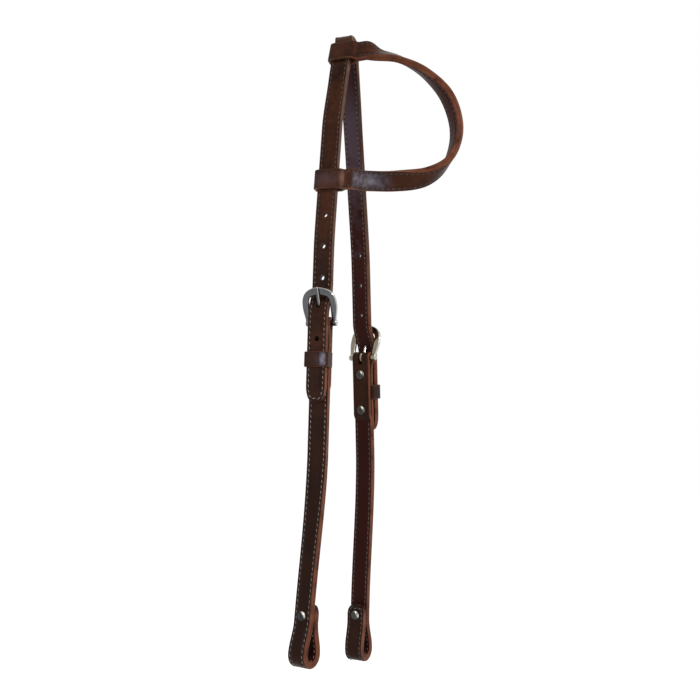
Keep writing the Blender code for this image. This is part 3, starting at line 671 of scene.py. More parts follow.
class HeadstallLeather(bpy.types.PropertyGroup):
    """Colours of the leather, and the cut of its edges and stitch grooves"""

    face_colour: FloatVectorProperty(
        name="Face colour", description="Oiled grain side of the straps", subtype="COLOR",
        min=0.0, max=1.0, default=(0.0225, 0.0078, 0.0047),
    )
    glow_colour: FloatVectorProperty(
        name="Lighter patches", description="Where the dye is thin", subtype="COLOR",
        min=0.0, max=1.0, default=(0.098, 0.033, 0.0155),
    )
    edge_colour: FloatVectorProperty(
        name="Edge colour", description="Burnished cut edges", subtype="COLOR",
        min=0.0, max=1.0, default=(0.19, 0.066, 0.034),
    )
    crown_edge_colour: FloatVectorProperty(
        name="Crown edge colour", description="Edges of the crown strap, greyed by handling",
        subtype="COLOR", min=0.0, max=1.0, default=(0.127, 0.063, 0.038),
    )
    lining_colour: FloatVectorProperty(
        name="Lining colour", description="Smooth side that lies against the horse", subtype="COLOR",
        min=0.0, max=1.0, default=(0.037, 0.0093, 0.007),
    )
    # Painted sheen: a purple-grey on the lining below the crown.
    sheen_colour: FloatVectorProperty(
        name="Lining painted sheen", description="Waxy bloom on the lining below the crown", subtype="COLOR",
        min=0.0, max=1.0, default=(0.115, 0.075, 0.092),
    )
    # Painted highlight beside the lower ear loop, on the keepers' front corner and faintly on the
    # lower loop.
    glint_colour: FloatVectorProperty(
        name="Painted glint", description="Pale wax left beside the lower ear loop", subtype="COLOR",
        min=0.0, max=1.0, default=(0.30, 0.28, 0.35),
    )
    lining_glow: FloatVectorProperty(
        name="Lining patches", description="Where the lining's dye is thin", subtype="COLOR",
        min=0.0, max=1.0, default=(0.062, 0.018, 0.0145),
    )
    edge_round: FloatProperty(
        name="Edge round", description="Radius of the burnished corner", unit="LENGTH", default=0.0008,
    )
    groove_inset: FloatProperty(
        name="Groove inset", description="Stitch groove to the strap's edge", unit="LENGTH",
        default=0.0021,
    )
    groove_half: FloatProperty(
        name="Groove half width", description="Half the width of the stitch groove", unit="LENGTH",
        default=0.0008,
    )
    groove_depth: FloatProperty(
        name="Groove depth", description="Depth of the stitch groove", unit="LENGTH", default=0.0003,
    )


class HeadstallThread(bpy.types.PropertyGroup):
    """Colour and sizes of the stitches"""

    colour: FloatVectorProperty(
        name="Thread colour", description="Waxed thread", subtype="COLOR",
        min=0.0, max=1.0, default=(0.33, 0.285, 0.245),
    )
    pitch: FloatProperty(
        name="Pitch", description="From one stitch to the next", unit="LENGTH", default=0.0042,
    )
    length: FloatProperty(
        name="Stitch length", description="Thread that shows between two holes", unit="LENGTH",
        default=0.0023,
    )
    radius: FloatProperty(
        name="Thread radius", description="Half the thread's thickness", unit="LENGTH",
        default=0.00036,
    )
    slant: FloatProperty(
        name="Slant", description="Turn of each stitch off the row", subtype="ANGLE",
        default=math.radians(14),
    )
    hole_radius: FloatProperty(
        name="Awl hole shade radius", description="Half the width of a stitch hole", unit="LENGTH",
        default=0.00078,
    )


class HeadstallMetal(bpy.types.PropertyGroup):
    """Colours and finish of the plated buckles and screws"""

    # The nickel's own grey, darkened further as a painted dark reflection.
    nickel_and_dark_reflection: FloatVectorProperty(
        name="Nickel colour", description="Plated buckles and screws", subtype="COLOR",
        min=0.0, max=1.0, default=(0.098, 0.102, 0.108),
    )
    # Painted brighter reflection on the left side's plating.
    left_reflection_colour: FloatVectorProperty(
        name="Left side reflection colour", description="Plating on the left side, which is less tarnished",
        subtype="COLOR", min=0.0, max=1.0, default=(0.25, 0.225, 0.175),
    )
    # Painted highlight where the plating faces up and forward.
    highlight_colour: FloatVectorProperty(
        name="Painted highlight colour", description="Plating rubbed bright where it faces up and forward",
        subtype="COLOR", min=0.0, max=1.0, default=(0.80, 0.77, 0.70),
    )
    roughness: FloatProperty(
        name="Roughness", description="Polish of the plating", min=0.0, max=1.0, default=0.16,
    )
    voxel: FloatProperty(
        name="Casting detail", description="Size of detail kept where cast shapes flow together",
        unit="LENGTH", default=0.00026,
    )


class HeadstallStage(bpy.types.PropertyGroup):
    """Camera and light"""

    azimuth: FloatProperty(
        name="Azimuth", description="Camera's turn round the headstall", subtype="ANGLE",
        default=math.radians(25.6),
    )
    elevation: FloatProperty(
        name="Elevation", description="Camera's height angle", subtype="ANGLE",
        default=math.radians(-2.2),
    )
    roll: FloatProperty(
        name="Roll", description="Camera's turn about its own axis", subtype="ANGLE",
        default=math.radians(0.1),
    )
    distance: FloatProperty(
        name="Distance", description="Camera to the middle of the legs", unit="LENGTH", default=0.9,
    )
    lens: FloatProperty(name="Lens", description="Focal length in millimetres", default=56.24)
    shift_x: FloatProperty(name="Shift across", description="Camera's sideways shift", default=0.008)
    shift_y: FloatProperty(name="Shift up", description="Camera's upward shift", default=0.0085)
    key_power: FloatProperty(name="Key light", description="Power of the large lamp", default=9.0)
    fill_power: FloatProperty(name="Fill light", description="Power of the side lamp", default=1.6)
    sky: FloatProperty(name="Sky", description="Strength of the even light", default=0.4)


def link(name, mesh):
    """Puts a mesh in the scene as an object."""
    made = bpy.data.objects.new(name, mesh)
    bpy.context.scene.collection.objects.link(made)
    return made


def section(half, deep, ply, cut):
    """A ply's outline as (across, off, rim) from its back's middle; deep is the groove's share."""
    corner = min(cut.edge_round, half * CORNER_OF_HALF_SHARE, ply.thickness * CORNER_OF_PLY_SHARE)
    inset = min(cut.groove_inset, half * INSET_OF_HALF_SHARE)
    lip = cut.groove_half
    top, back = ply.thickness / 2, -ply.thickness / 2 - ply.fill
    small = corner * BACK_CORNER_SHARE
    chamfer = small * BACK_CHAMFER_SHARE
    side = [
        (half - small, back, 1.0),
        (half - chamfer, back + chamfer, 1.0),
        (half, back + small, 1.0),
        (half + corner * EDGE_BULGE_SHARE, (back + small + top - corner) / 2, 1.0),
    ]
    for i, rim in enumerate(CORNER_RIM_SHARES):
        angle = math.pi / 2 * i / (len(CORNER_RIM_SHARES) - 1)
        across = half - corner + corner * math.cos(angle)
        side.append((across, top - corner + corner * math.sin(angle), rim))
    for share, low in GROOVE_SHARES:
        side.append((half - inset - lip * share, top - cut.groove_depth * low * deep, 0.0))
    side.append(((half - inset - lip) / 2, top, 0.0))
    mirrored = [(-across, off, rim) for across, off, rim in reversed(side)]
    return [(0.0, back, 1.0), *side, (0.0, top, 0.0), *mirrored]


@dataclass
class Ply:
    """One layer of leather: its sections, half widths, and the groove's depth share at each.

    At each section, its glint is a painted highlight on the face; below 0 the face takes the edge's
    lighter tan, partly stretched leather and partly a painted highlight.
    The tips are its rounded ends, start or end or both, and any other end is a plain butt.
    """

    name: str
    frames: list
    halves: list
    sewn: list
    tips: tuple = ()
    painted_glint: list = None
    thickness: float = PLY
    fill: float = PLY_GAP * FILL_SHARE
    closed: bool = False

    def __post_init__(self):
        self.painted_glint = self.painted_glint or [0.0] * len(self.frames)
        self.marks = [0.0]
        for (before, _, _), (after, _, _) in zip(self.frames, self.frames[1:]):
            self.marks.append(self.marks[-1] + (after - before).length)

    def facing(self, name, side, off):
        """The same strap's ply on one side of its middle, with its face turned that way."""
        frames = [
            (place + normal * side * off, width, normal * side) for place, width, normal in self.frames
        ]
        return replace(self, name=name, frames=frames)


def set_values(mesh, label, values):
    """Gives a mesh a number at each of its points."""
    mesh.attributes.new(label, "FLOAT", "POINT").data.foreach_set("value", values)


def swept(ply, cut):
    """The ply's closed skin, with a rim value of 1 on its cut edges."""
    bend = cut.edge_round
    verts, rims, painted_glint = [], [], []
    for (place, width, normal), half, deep, mark, wax in zip(
        ply.frames, ply.halves, ply.sewn, ply.marks, ply.painted_glint
    ):
        shrink = burnish = 0.0
        plain = 1.0
        for tip, near in (("start", mark), ("end", ply.marks[-1] - mark)):
            if tip in ply.tips:
                plain = min(plain, END_RIM + (1 - END_RIM) * smooth(near, END_RIM_HOLD, END_RIM_FADE))
                if near < bend:
                    shrink = bend - math.sqrt(bend**2 - (bend - near) ** 2)
                    burnish = min(shrink / bend * 2, 1.0)
        ring = section(half, deep, ply, cut)
        for across, off, rim in ring:
            if off > 0:
                off *= 1 - shrink / ply.thickness * 2
            verts.append(place + width * across * (1 - shrink / half) + normal * off)
            inside = max(0.0, 1 - (across / half) ** 2)
            # Below 0 the glint shows the edge's lighter tan, partly stretched leather and partly a
            # painted highlight; above 0 it is a painted highlight.
            rims.append(max(rim, burnish, -wax * inside) * plain)
            painted_glint.append(max(wax, 0.0) * inside)
    size = len(ring)
    count = len(ply.frames)
    faces = []
    for i in range(count if ply.closed else count - 1):
        low, high = i * size, (i + 1) % count * size
        for j in range(size):
            k = (j + 1) % size
            faces.append((low + j, low + k, high + k, high + j))
    if not ply.closed:
        last = (count - 1) * size
        faces.append(tuple(range(size - 1, -1, -1)))
        faces.append(tuple(range(last, last + size)))
    mesh = bpy.data.meshes.new(ply.name)
    mesh.from_pydata(verts, [], faces)
    set_values(mesh, "rim", rims)
    set_values(mesh, "wax", painted_glint)
    turn_outwards(mesh)
    return mesh


def mesh_of(name, bm):
    """The mesh that was made in bm, which it frees."""
    mesh = bpy.data.meshes.new(name)
    bm.to_mesh(mesh)
    bm.free()
    return mesh


def turn_outwards(mesh):
    """Makes a closed mesh's faces point out of it."""
    bm = bmesh.new()
    bm.from_mesh(mesh)
    bmesh.ops.recalc_face_normals(bm, faces=bm.faces)
    if bm.calc_volume(signed=True) < 0:
        bmesh.ops.reverse_faces(bm, faces=bm.faces)
    bm.to_mesh(mesh)
    bm.free()


def shade(made, angle):
    """Smooth shading, sharp at edges that turn by more degrees than the angle."""
    made.data.shade_smooth()
    made.data.set_sharp_from_angle(angle=math.radians(angle))


def rod_mesh(bm, start, end, radius, sides=ROD_SIDES):
    """Adds a round rod between two points."""
    spin = (end - start).to_track_quat("Z", "Y").to_matrix().to_4x4()
    length = (end - start).length
    made = bmesh.ops.create_cone(
        bm, cap_ends=True, segments=sides, radius1=radius, radius2=radius, depth=length
    )
    place = Matrix.Translation((start + end) / 2) @ spin
    bmesh.ops.transform(bm, matrix=place, verts=made["verts"])


def settle(made):
    """Makes a piece's modifiers part of its mesh."""
    bpy.context.view_layer.update()
    evaluated = made.evaluated_get(bpy.context.evaluated_depsgraph_get())
    mesh = bpy.data.meshes.new_from_object(evaluated)
    made.modifiers.clear()
    old = made.data
    made.data = mesh
    mesh.name = made.name
    if old.users == 0:
        bpy.data.meshes.remove(old)


def cut_away(made, bm):
    """Cuts the shapes in bm out of a piece for good; their walls count as cut leather."""
    mesh = mesh_of(f"{made.name}_cuts", bm)
    set_values(mesh, "rim", [1.0] * len(mesh.vertices))
    tool = link(mesh.name, mesh)
    step = made.modifiers.new("cut", "BOOLEAN")
    step.operation = "DIFFERENCE"
    step.solver = "EXACT"
    step.object = tool
    settle(made)
    bpy.data.objects.remove(tool)


def leg_frames(leg, path):
    """Sections on a leg from (down, off) pairs; going down, their normals point off the horse."""
    points = [leg.place(down, off=off) for down, off in path]
    widths = [leg.route.frame(down)[2] * -leg.side for down, _ in path]
    return frames_of(points, widths)


def crown_plies():
    """The crown strap's outer ply and lining, tapered to a tip at both ends."""
    route, downs = crown_line()
    halves, sewn = [], []
    for mark in route.marks:
        near = min(mark, route.length - mark)
        halves.append(tip_half_width(near, BILLET_TIP))
        sewn.append(smooth(near, BILLET_TIP * BILLET_SEWN_SHARE, BILLET_TIP * SEWN_EASE_SHARE))
    middle = Ply("crown", frames_of(route.points, route.widths), halves, sewn, ("start", "end"))
    plies = middle.facing("crown_outer", -1, PLY_OFF), middle.facing("crown_lining", 1, PLY_OFF)
    return plies, route, downs


def cheek_plies(leg):
    """One cheekpiece's outer ply, chape end first, and its lining."""
    tab_end = leg.screw_down - TAB_ABOVE_SCREW
    tab_sewn = (HALF_WIDTH * TAB_SEWN_SHARE, HALF_WIDTH * SEWN_EASE_SHARE)
    lining_start = leg.bar_down + CHAPE_LENGTH + BUTT_GAP
    made = []
    for name, path in (
        (f"cheek_outer_{leg.name}", cheek_path(leg)),
        (f"cheek_lining_{leg.name}", bit_loop_path(leg, lining_start, -PLY_OFF)),
    ):
        bottom = max(range(len(path)), key=lambda i: path[i][0])
        halves, sewn = [], []
        for i, (down, off) in enumerate(path):
            on_tab = i > bottom
            halves.append(tip_half_width(down - tab_end, HALF_WIDTH) if on_tab else HALF_WIDTH)
            begun = smooth(down, lining_start + GROOVE_LEAD, GROOVE_LEAD)
            if on_tab:
                begun *= smooth(down - tab_end, *tab_sewn)
            sewn.append(begun if on_tab or off > -FOLD_RADIUS else 0.0)
        made.append(Ply(name, leg_frames(leg, path), halves, sewn, ("end",)))
    outer, lining = made
    return outer, lining.facing(lining.name, -1, 0.0)


def ear_plies():
    """The ear strap's outer ply and lining."""
    route = ear_line()
    stations = steps_between(0.0, route.length, EAR_STEP)
    frames = []
    for along in stations:
        place, _, width, normal = route.frame(along)
        frames.append((place, width, normal))
    # A painted highlight patch on the face just before the lower loop.
    painted_glint = []
    for near in (route.length - along for along in stations):
        painted_glint.append(smooth(near, GLINT_START, GLINT_RISE) * (1 - smooth(near, GLINT_END, GLINT_FADE)))
    middle = Ply("ear", frames, [HALF_WIDTH] * len(frames), [1.0] * len(frames), painted_glint=painted_glint)
    return middle.facing("ear_outer", -1, PLY_OFF), middle.facing("ear_lining", 1, PLY_OFF)


def finish(made, body, node, material):
    """Gives a piece its material and its body, and hides the node that it stands for."""
    made.data.materials.clear()
    made.data.materials.append(material)
    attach(made, body)
    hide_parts(node)


def finish_leather(made, body, node):
    """Finishes a ply; the linings are the smooth side against the horse."""
    shade(made, LEATHER_SHARP)
    slot, look = ("lining", "Lining leather") if "lining" in node else ("leather", "Oiled leather")
    finish(made, body, node, known(bpy.data.materials, look, leather_material))


class HEADSTALL_OT_crown(bpy.types.Operator):
    """Crown strap of two plies with punched holes and tapered billets"""

    bl_idname = "headstall.crown"
    bl_label = "Crown strap"

    def execute(self, context):
        plies, route, downs = crown_plies()
        for ply in plies:
            made = link(f"leather_{ply.name}", swept(ply, context.scene.headstall_leather))
            bm = bmesh.new()
            for leg in LEGS:
                punch_tongue_hole(bm, leg)
                tongue_mark = crown_mark(route, downs, leg.side, tongue_hole_down(leg))
                for step in range(-HOLES_BELOW, HOLES_ABOVE + 1):
                    if step:
                        along = tongue_mark - leg.side * step * HOLE_SPACING
                        start, end = (route.point(along, off=off) for off in (-HALF_WIDTH, HALF_WIDTH))
                        rod_mesh(bm, start, end, HOLE_RADIUS)
            cut_away(made, bm)
            finish_leather(made, "headstall", ply.name)
        return {"FINISHED"}


def punch_tongue_hole(bm, leg):
    """The hole that the tongue goes through, fanned over the tongue's swing."""
    bar = leg.matrix(leg.bar_down)
    before = set(bm.verts)
    for swing in (-TONGUE_DROP, TONGUE_LIFT):
        angle = TONGUE_ANGLE + swing
        ray = bar.to_3x3() @ Vector((0.0, math.cos(angle), math.sin(angle)))
        start = bar.translation + ray * FOLD_RADIUS
        end = bar.translation + ray * (TONGUE_REACH - FRAME_TOP_BAND)
        rod_mesh(bm, start, end, TONGUE_RADIUS + SEAT_GAP)
    rods = [vert for vert in bm.verts if vert not in before]
    hull = bmesh.ops.convex_hull(bm, input=rods)
    unused = hull["geom_interior"] + hull["geom_unused"]
    spare = {item for item in unused if isinstance(item, bmesh.types.BMVert)}
    bmesh.ops.delete(bm, geom=list(spare), context="VERTS")
    outside = {item for item in hull["geom"] if isinstance(item, bmesh.types.BMFace)}
    kept = set(rods) - spare
    inside = [
        face for face in bm.faces if face not in outside and all(vert in kept for vert in face.verts)
    ]
    bmesh.ops.delete(bm, geom=inside, context="FACES_ONLY")


class HEADSTALL_OT_cheeks(bpy.types.Operator):
    """Cheekpieces folded round the buckle bar and back up at the bit loop"""

    bl_idname = "headstall.cheeks"
    bl_label = "Cheekpieces"

    def execute(self, context):
        hole = BARREL_RADIUS + SEAT_GAP
        slot_half = TONGUE_RADIUS + TONGUE_SLOT_GAP
        reach = BAR_RADIUS + 2 * SEAT_GAP + 2 * TONGUE_RADIUS + TONGUE_SLOT_GAP
        size = Matrix.Diagonal((2 * slot_half, 2 * reach, 3 * reach, 1))
        for leg in LEGS:
            for ply in cheek_plies(leg):
                made = link(f"leather_{ply.name}", swept(ply, context.scene.headstall_leather))
                bm = bmesh.new()
                out = leg.matrix(leg.screw_down).col[2].to_3d()
                middle = leg.place(leg.screw_down, off=-HALF_STRAP)
                rod_mesh(bm, middle - out * STRAP_WIDTH, middle + out * STRAP_WIDTH, hole)
                if "outer" in ply.name:
                    for down in (UPPER_SCREW_DOWN, LOWER_SCREW_DOWN):
                        start = leg.place(leg.bar_down + down, off=CHAPE_OFF - HALF_WIDTH)
                        end = leg.place(leg.bar_down + down, off=HALF_WIDTH)
                        rod_mesh(bm, start, end, hole)
                    bmesh.ops.create_cube(bm, size=1, matrix=leg.matrix(leg.bar_down) @ size)
                cut_away(made, bm)
                finish_leather(made, "headstall", ply.name)
        return {"FINISHED"}


def ear_loop_ply(name, middle, marked):
    """A ply round the crown strap, its ends against the ear strap; if asked, its bent neck takes a
    lighter tan, partly stretched leather and partly a painted highlight, and the rest a faint painted
    sheen.
    """
    off = HALF_STRAP + EAR_LOOP_CLEARANCE + PLY / 2
    half = HALF_WIDTH + EAR_LOOP_CLEARANCE + PLY / 2
    neck = EAR_TAIL - EAR_TAIL_FLAT
    front = [(EAR_TAIL, PLY_OFF)]
    for across in steps_between(neck, EAR_LOOP_NECK, NECK_STEP):
        share = smooth(neck - across, 0.0, neck - EAR_LOOP_NECK)
        front.append((across, PLY_OFF + (off - PLY_OFF) * share))
    corner = EAR_LOOP_CORNER
    flat = steps_between(EAR_LOOP_NECK, corner - half, EAR_LOOP_STEP)
    front.extend((across, off) for across in flat[1:-1])
    turns = 8
    for i in range(turns + 1):
        angle = math.pi / 2 + math.pi / 2 * i / turns
        across = corner - half + corner * math.cos(angle)
        front.append((across, off - corner + corner * math.sin(angle)))
    path = front + [(across, -height) for across, height in front[::-1]]
    points = [RIGHT.place(middle, across, height) for across, height in path]
    frames = frames_of(points, [RIGHT.route.frame(middle)[1]] * len(points))
    painted_glint = [0.0] * len(path)
    # Lighter tan on the bent neck, partly a painted highlight, and a faint painted sheen on the rest.
    if marked:
        necks = [height > 0 and EAR_LOOP_NECK < across < neck for across, height in path]
        painted_glint = [LOOP_NECK_STRETCH_GLINT if bent else LOOP_GLINT for bent in necks]
    return Ply(name, frames, [HALF_WIDTH] * len(frames), [0.0] * len(frames), painted_glint=painted_glint, fill=0.0)


class HEADSTALL_OT_ear(bpy.types.Operator):
    """Ear piece: a stitched strap between two loops that slide on the crown strap"""

    bl_idname = "headstall.ear"
    bl_label = "Ear piece"

    def execute(self, context):
        top = ear_loop_ply("ear_loop_top", EAR_TOP_DOWN, False)
        low = ear_loop_ply("ear_loop_low", EAR_LOW_DOWN, True)
        for ply in (top, low, *ear_plies()):
            made = link(f"leather_{ply.name}", swept(ply, context.scene.headstall_leather))
            finish_leather(made, "ear_piece", ply.name)
        return {"FINISHED"}


def keeper_ply(leg):
    """The loop over the billet, its back between the chape and the cheek."""
    high = BILLET_OFF + HALF_STRAP + SEAT_GAP + KEEPER_PLY / 2
    half = HALF_WIDTH + SEAT_GAP + KEEPER_PLY / 2
    corner = KEEPER_CORNER
    centres = (
        (half - corner, high - corner),
        (corner - half, high - corner),
        (corner - half, KEEPER_BACK_OFF + corner),
        (half - corner, KEEPER_BACK_OFF + corner),
    )
    path = []
    turns = 7
    for quarter, (across, off) in enumerate(centres):
        for i in range(turns + 1):
            angle = math.pi / 2 * (quarter + i / turns)
            path.append((across + corner * math.cos(angle), off + corner * math.sin(angle)))
        # Two more stations on the front corner, which carries a painted highlight.
        if quarter == 0:
            path.extend((half - corner - step, high) for step in KEEPER_GLINT_STEPS)
    middle = leg.bar_down + KEEPER_DOWN
    points = [leg.place(middle, across, off) for across, off in path]
    count = len(points)
    frames = frames_of(points, [leg.route.frame(middle)[1] * -leg.side] * count, closed=True)
    # A painted highlight along the bend of the keeper's front corner.
    return Ply(
        f"keeper_{leg.name}", frames, [KEEPER_HEIGHT / 2] * count, [0.0] * count,
        painted_glint=[*KEEPER_GLINT, *[0.0] * (count - len(KEEPER_GLINT))],
        thickness=KEEPER_PLY, fill=0.0, closed=True,
    )


class HEADSTALL_OT_keepers(bpy.types.Operator):
    """Leather keepers that hold the billets down"""

    bl_idname = "headstall.keepers"
    bl_label = "Keepers"

    def execute(self, context):
        for leg in LEGS:
            ply = keeper_ply(leg)
            made = link(f"leather_{ply.name}", swept(ply, context.scene.headstall_leather))
            finish_leather(made, ply.name, ply.name)
        return {"FINISHED"}


def cast(bm, name, voxel):
    """Lets the crossing shapes in bm flow together into one cast body."""
    made = link(name, mesh_of(name, bm))
    fuse = made.modifiers.new("fuse", "REMESH")
    fuse.mode = "VOXEL"
    fuse.voxel_size = voxel
    fuse.adaptivity = 0.0
    ease = made.modifiers.new("ease", "SMOOTH")
    ease.factor = CAST_EASE
    ease.iterations = CAST_EASE_ROUNDS
    settle(made)
    turn_outwards(made.data)
    made.data.shade_smooth()
    return made


def finish_metal(made, body, node, look):
    """Finishes a plated piece."""
    finish(made, body, node, known(bpy.data.materials, look, metal_material))


def add_skin(bm, rows, closed=False, capped=True):
    """Faces between rows of vertices; a pole is a row of one vertex repeated."""
    for low, high in zip(rows, rows[1:] + rows[:1] if closed else rows[1:]):
        for j in range(len(low)):
            k = (j + 1) % len(low)
            bm.faces.new(tuple(dict.fromkeys((low[j], low[k], high[k], high[j]))))
    if capped and not closed:
        bm.faces.new(rows[0][::-1])
        bm.faces.new(rows[-1])


def closed_profile(bm, outline, low, high, corner):
    """A flat plate with rounded edges from its outline, (x, y) pairs, between two heights."""
    turns = 4
    angles = [math.pi / 2 * i / turns for i in range(turns + 1)]
    levels = [(1 - math.sin(angle), low + corner * (1 - math.cos(angle))) for angle in angles]
    levels += [(1 - math.cos(angle), high - corner * (1 - math.sin(angle))) for angle in angles]
    rows = []
    for inset, height in levels:
        row = []
        for i, (x, y) in enumerate(outline):
            before, after = outline[i - 1], outline[(i + 1) % len(outline)]
            along = Vector((after[0] - before[0], after[1] - before[1])).normalized()
            place = (x - along.y * corner * inset, y + along.x * corner * inset, height)
            row.append(bm.verts.new(place))
        rows.append(row)
    add_skin(bm, rows)


def tube(bm, points, radii, side, closed=False):
    """A round tube along points; side is any direction across all of them."""
    steps = 20
    rows = []
    for place, radius, tangent in zip(points, radii, tangents(points, closed)):
        up = tangent.cross(side).normalized()
        row = []
        for j in range(steps):
            angle = 2 * math.pi * j / steps
            row.append(bm.verts.new(place + (side * math.cos(angle) + up * math.sin(angle)) * radius))
        rows.append(row)
    add_skin(bm, rows, closed)


class HEADSTALL_OT_buckles(bpy.types.Operator):
    """D frames cast with their bars, and the tongues that turn on them"""

    bl_idname = "headstall.buckles"
    bl_label = "Buckles"

    def execute(self, context):
        look = context.scene.headstall_metal
        for leg in LEGS:
            for name, bm, voxel in (
                (f"buckle_frame_{leg.name}", frame_shape(), look.voxel),
                (f"buckle_tongue_{leg.name}", tongue_shape(), look.voxel * TONGUE_VOXEL_SHARE),
            ):
                bmesh.ops.recalc_face_normals(bm, faces=bm.faces)
                bmesh.ops.transform(bm, matrix=leg.matrix(leg.bar_down), verts=bm.verts)
                finish_metal(cast(bm, f"nickel_{name}", voxel), name, name, "Nickel")
        return {"FINISHED"}


def frame_shape():
    """The bowed flat band, its lobes and its bar, about the bar's middle."""
    inner = FRAME_INNER_HALF
    outer = inner + FRAME_BAND
    side = (FRAME_HEIGHT - outer) * FRAME_SIDE_SHARE
    outline = []
    rises, turns = 12, 40
    for half, foot, height, power, order in (
        (outer, inner + FRAME_LOBE_BAND, FRAME_HEIGHT, FRAME_OUTER_POWER, 1),
        (inner, inner, FRAME_HEIGHT - FRAME_TOP_BAND, FRAME_INNER_POWER, -1),
    ):
        arc = [(foot + (half - foot) * smooth(i, 0, rises), side * i / rises) for i in range(rises)]
        left = [(-across, height) for across, height in reversed(arc)]
        for i in range(turns + 1):
            angle = math.pi * i / turns
            bow = abs(math.sin(angle)) ** power
            arc.append((half * math.cos(angle), side + (height - side) * bow))
        outline.extend((arc + left)[::order])
    bm = bmesh.new()
    closed_profile(bm, outline, -FRAME_THICKNESS / 2, FRAME_THICKNESS / 2, FRAME_ROUND)
    bmesh.ops.transform(bm, matrix=Matrix.Rotation(FRAME_TILT, 4, "X"), verts=bm.verts)
    middle = Vector((inner + FRAME_LOBE_BAND / 2, 0.0, 0.0))
    rod_mesh(bm, -middle, middle, BAR_RADIUS, BAR_SIDES)
    reach = Vector((FRAME_LOBE_BAND / 2 + FRAME_LOBE_PROUD, 0.0, 0.0))
    for sign in (-1, 1):
        rod_mesh(bm, middle * sign - reach, middle * sign + reach, FRAME_LOBE_RADIUS, LOBE_SIDES)
    return bm


def tongue_shape():
    """An eye round the bar and a tapered pin, about the bar's middle."""
    eye = BAR_RADIUS + SEAT_GAP + TONGUE_RADIUS
    side = Vector((1.0, 0.0, 0.0))
    ray = Vector((0.0, math.cos(TONGUE_ANGLE), math.sin(TONGUE_ANGLE)))
    points = [ray * (eye + (TONGUE_REACH - eye) * share) for share, _ in TONGUE_SHARES]
    bm = bmesh.new()
    tube(bm, points, [TONGUE_RADIUS * slim for _, slim in TONGUE_SHARES], side)
    turns = 48
    angles = [2 * math.pi * i / turns for i in range(turns)]
    ring = [Vector((0.0, eye * math.cos(angle), eye * math.sin(angle))) for angle in angles]
    tube(bm, ring, [TONGUE_RADIUS] * turns, side, closed=True)
    return bm


def turned(name, profile, matrix):
    """A turned piece from its (radius, height) profile, from pole to pole."""
    steps = 48
    angles = [2 * math.pi * i / steps for i in range(steps)]
    bm = bmesh.new()
    rows = []
    for radius, height in profile:
        if radius == 0.0:
            rows.append([bm.verts.new((0.0, 0.0, height))] * steps)
            continue
        ring = [(radius * math.cos(angle), radius * math.sin(angle), height) for angle in angles]
        rows.append([bm.verts.new(place) for place in ring])
    add_skin(bm, rows, capped=False)
    bmesh.ops.transform(bm, matrix=matrix, verts=bm.verts)
    mesh = mesh_of(name, bm)
    turn_outwards(mesh)
    return link(name, mesh)


def head_profile(face, seat, sign):
    """A domed screw head's (radius, height) pairs from its middle to its seat."""
    rim, ease = SCREW_HEAD_RADIUS, SCREW_HEAD_EDGE
    inner = rim - ease
    domes, turns = 12, 4
    profile = [(0.0, face)]
    for i in range(1, domes + 1):
        radius = inner * i / domes
        profile.append((radius, face - sign * SCREW_HEAD_DOME * (radius / rim) ** SCREW_DOME_POWER))
    low = profile[-1][1]
    for i in range(1, turns + 1):
        angle = math.pi / 2 * i / turns
        profile.append((inner + ease * math.sin(angle), low - sign * ease * (1 - math.cos(angle))))
    chamfer = ease * SCREW_CHAMFER_SHARE
    return profile + [(rim, seat + sign * chamfer), (rim - chamfer, seat)]


def screw_set(leg, part, down, inner_off, outer_off):
    """A two-part screw: the post from outside, the slotted screw from inside."""
    matrix = leg.matrix(down)
    foot = outer_off + SCREW_LIFT
    top = outer_off + SEAT_GAP + SCREW_HEAD_HEIGHT
    barrel_end = inner_off + SEAT_GAP
    post = head_profile(top, foot, 1)
    post += [(BARREL_RADIUS, foot), (BARREL_RADIUS, barrel_end), (BARREL_BORE, barrel_end)]
    post += [(BARREL_BORE, foot), (0.0, foot)]
    seat = inner_off - SCREW_LIFT
    low = inner_off - SEAT_GAP - SCREW_HEAD_HEIGHT
    tip = foot - (foot - barrel_end) * SHANK_SHARE
    screw = head_profile(low, seat, -1) + [(SHANK_RADIUS, seat), (SHANK_RADIUS, tip), (0.0, tip)]
    size = Matrix.Diagonal((SCREW_SLOT_WIDTH, 3 * SCREW_HEAD_RADIUS, 2 * SCREW_SLOT_DEPTH, 1))
    for kind, profile in (("post", post), ("screw", screw)):
        name = f"{part}_{kind}_{leg.name}"
        made = turned(f"nickel_{name}", profile, matrix)
        if kind == "screw":
            bm = bmesh.new()
            bmesh.ops.create_cube(bm, size=1, matrix=matrix @ Matrix.Translation((0, 0, low)) @ size)
            cut_away(made, bm)
        shade(made, SCREW_SHARP)
        finish_metal(made, "headstall", name, "Screw nickel")


class HEADSTALL_OT_screws(bpy.types.Operator):
    """Two-part screws through the chapes and the bit ends"""

    bl_idname = "headstall.screws"
    bl_label = "Screws"

    def execute(self, context):
        chape_face = CHAPE_OFF - PLY / 2
        bit_face = -3 * HALF_STRAP - SEAT_GAP
        for leg in LEGS:
            for part, down, face in (
                ("chape_upper", leg.bar_down + UPPER_SCREW_DOWN, chape_face),
                ("chape_lower", leg.bar_down + LOWER_SCREW_DOWN, chape_face),
                ("bit", leg.screw_down, bit_face),
            ):
                screw_set(leg, part, down, face, HALF_STRAP)
        return {"FINISHED"}


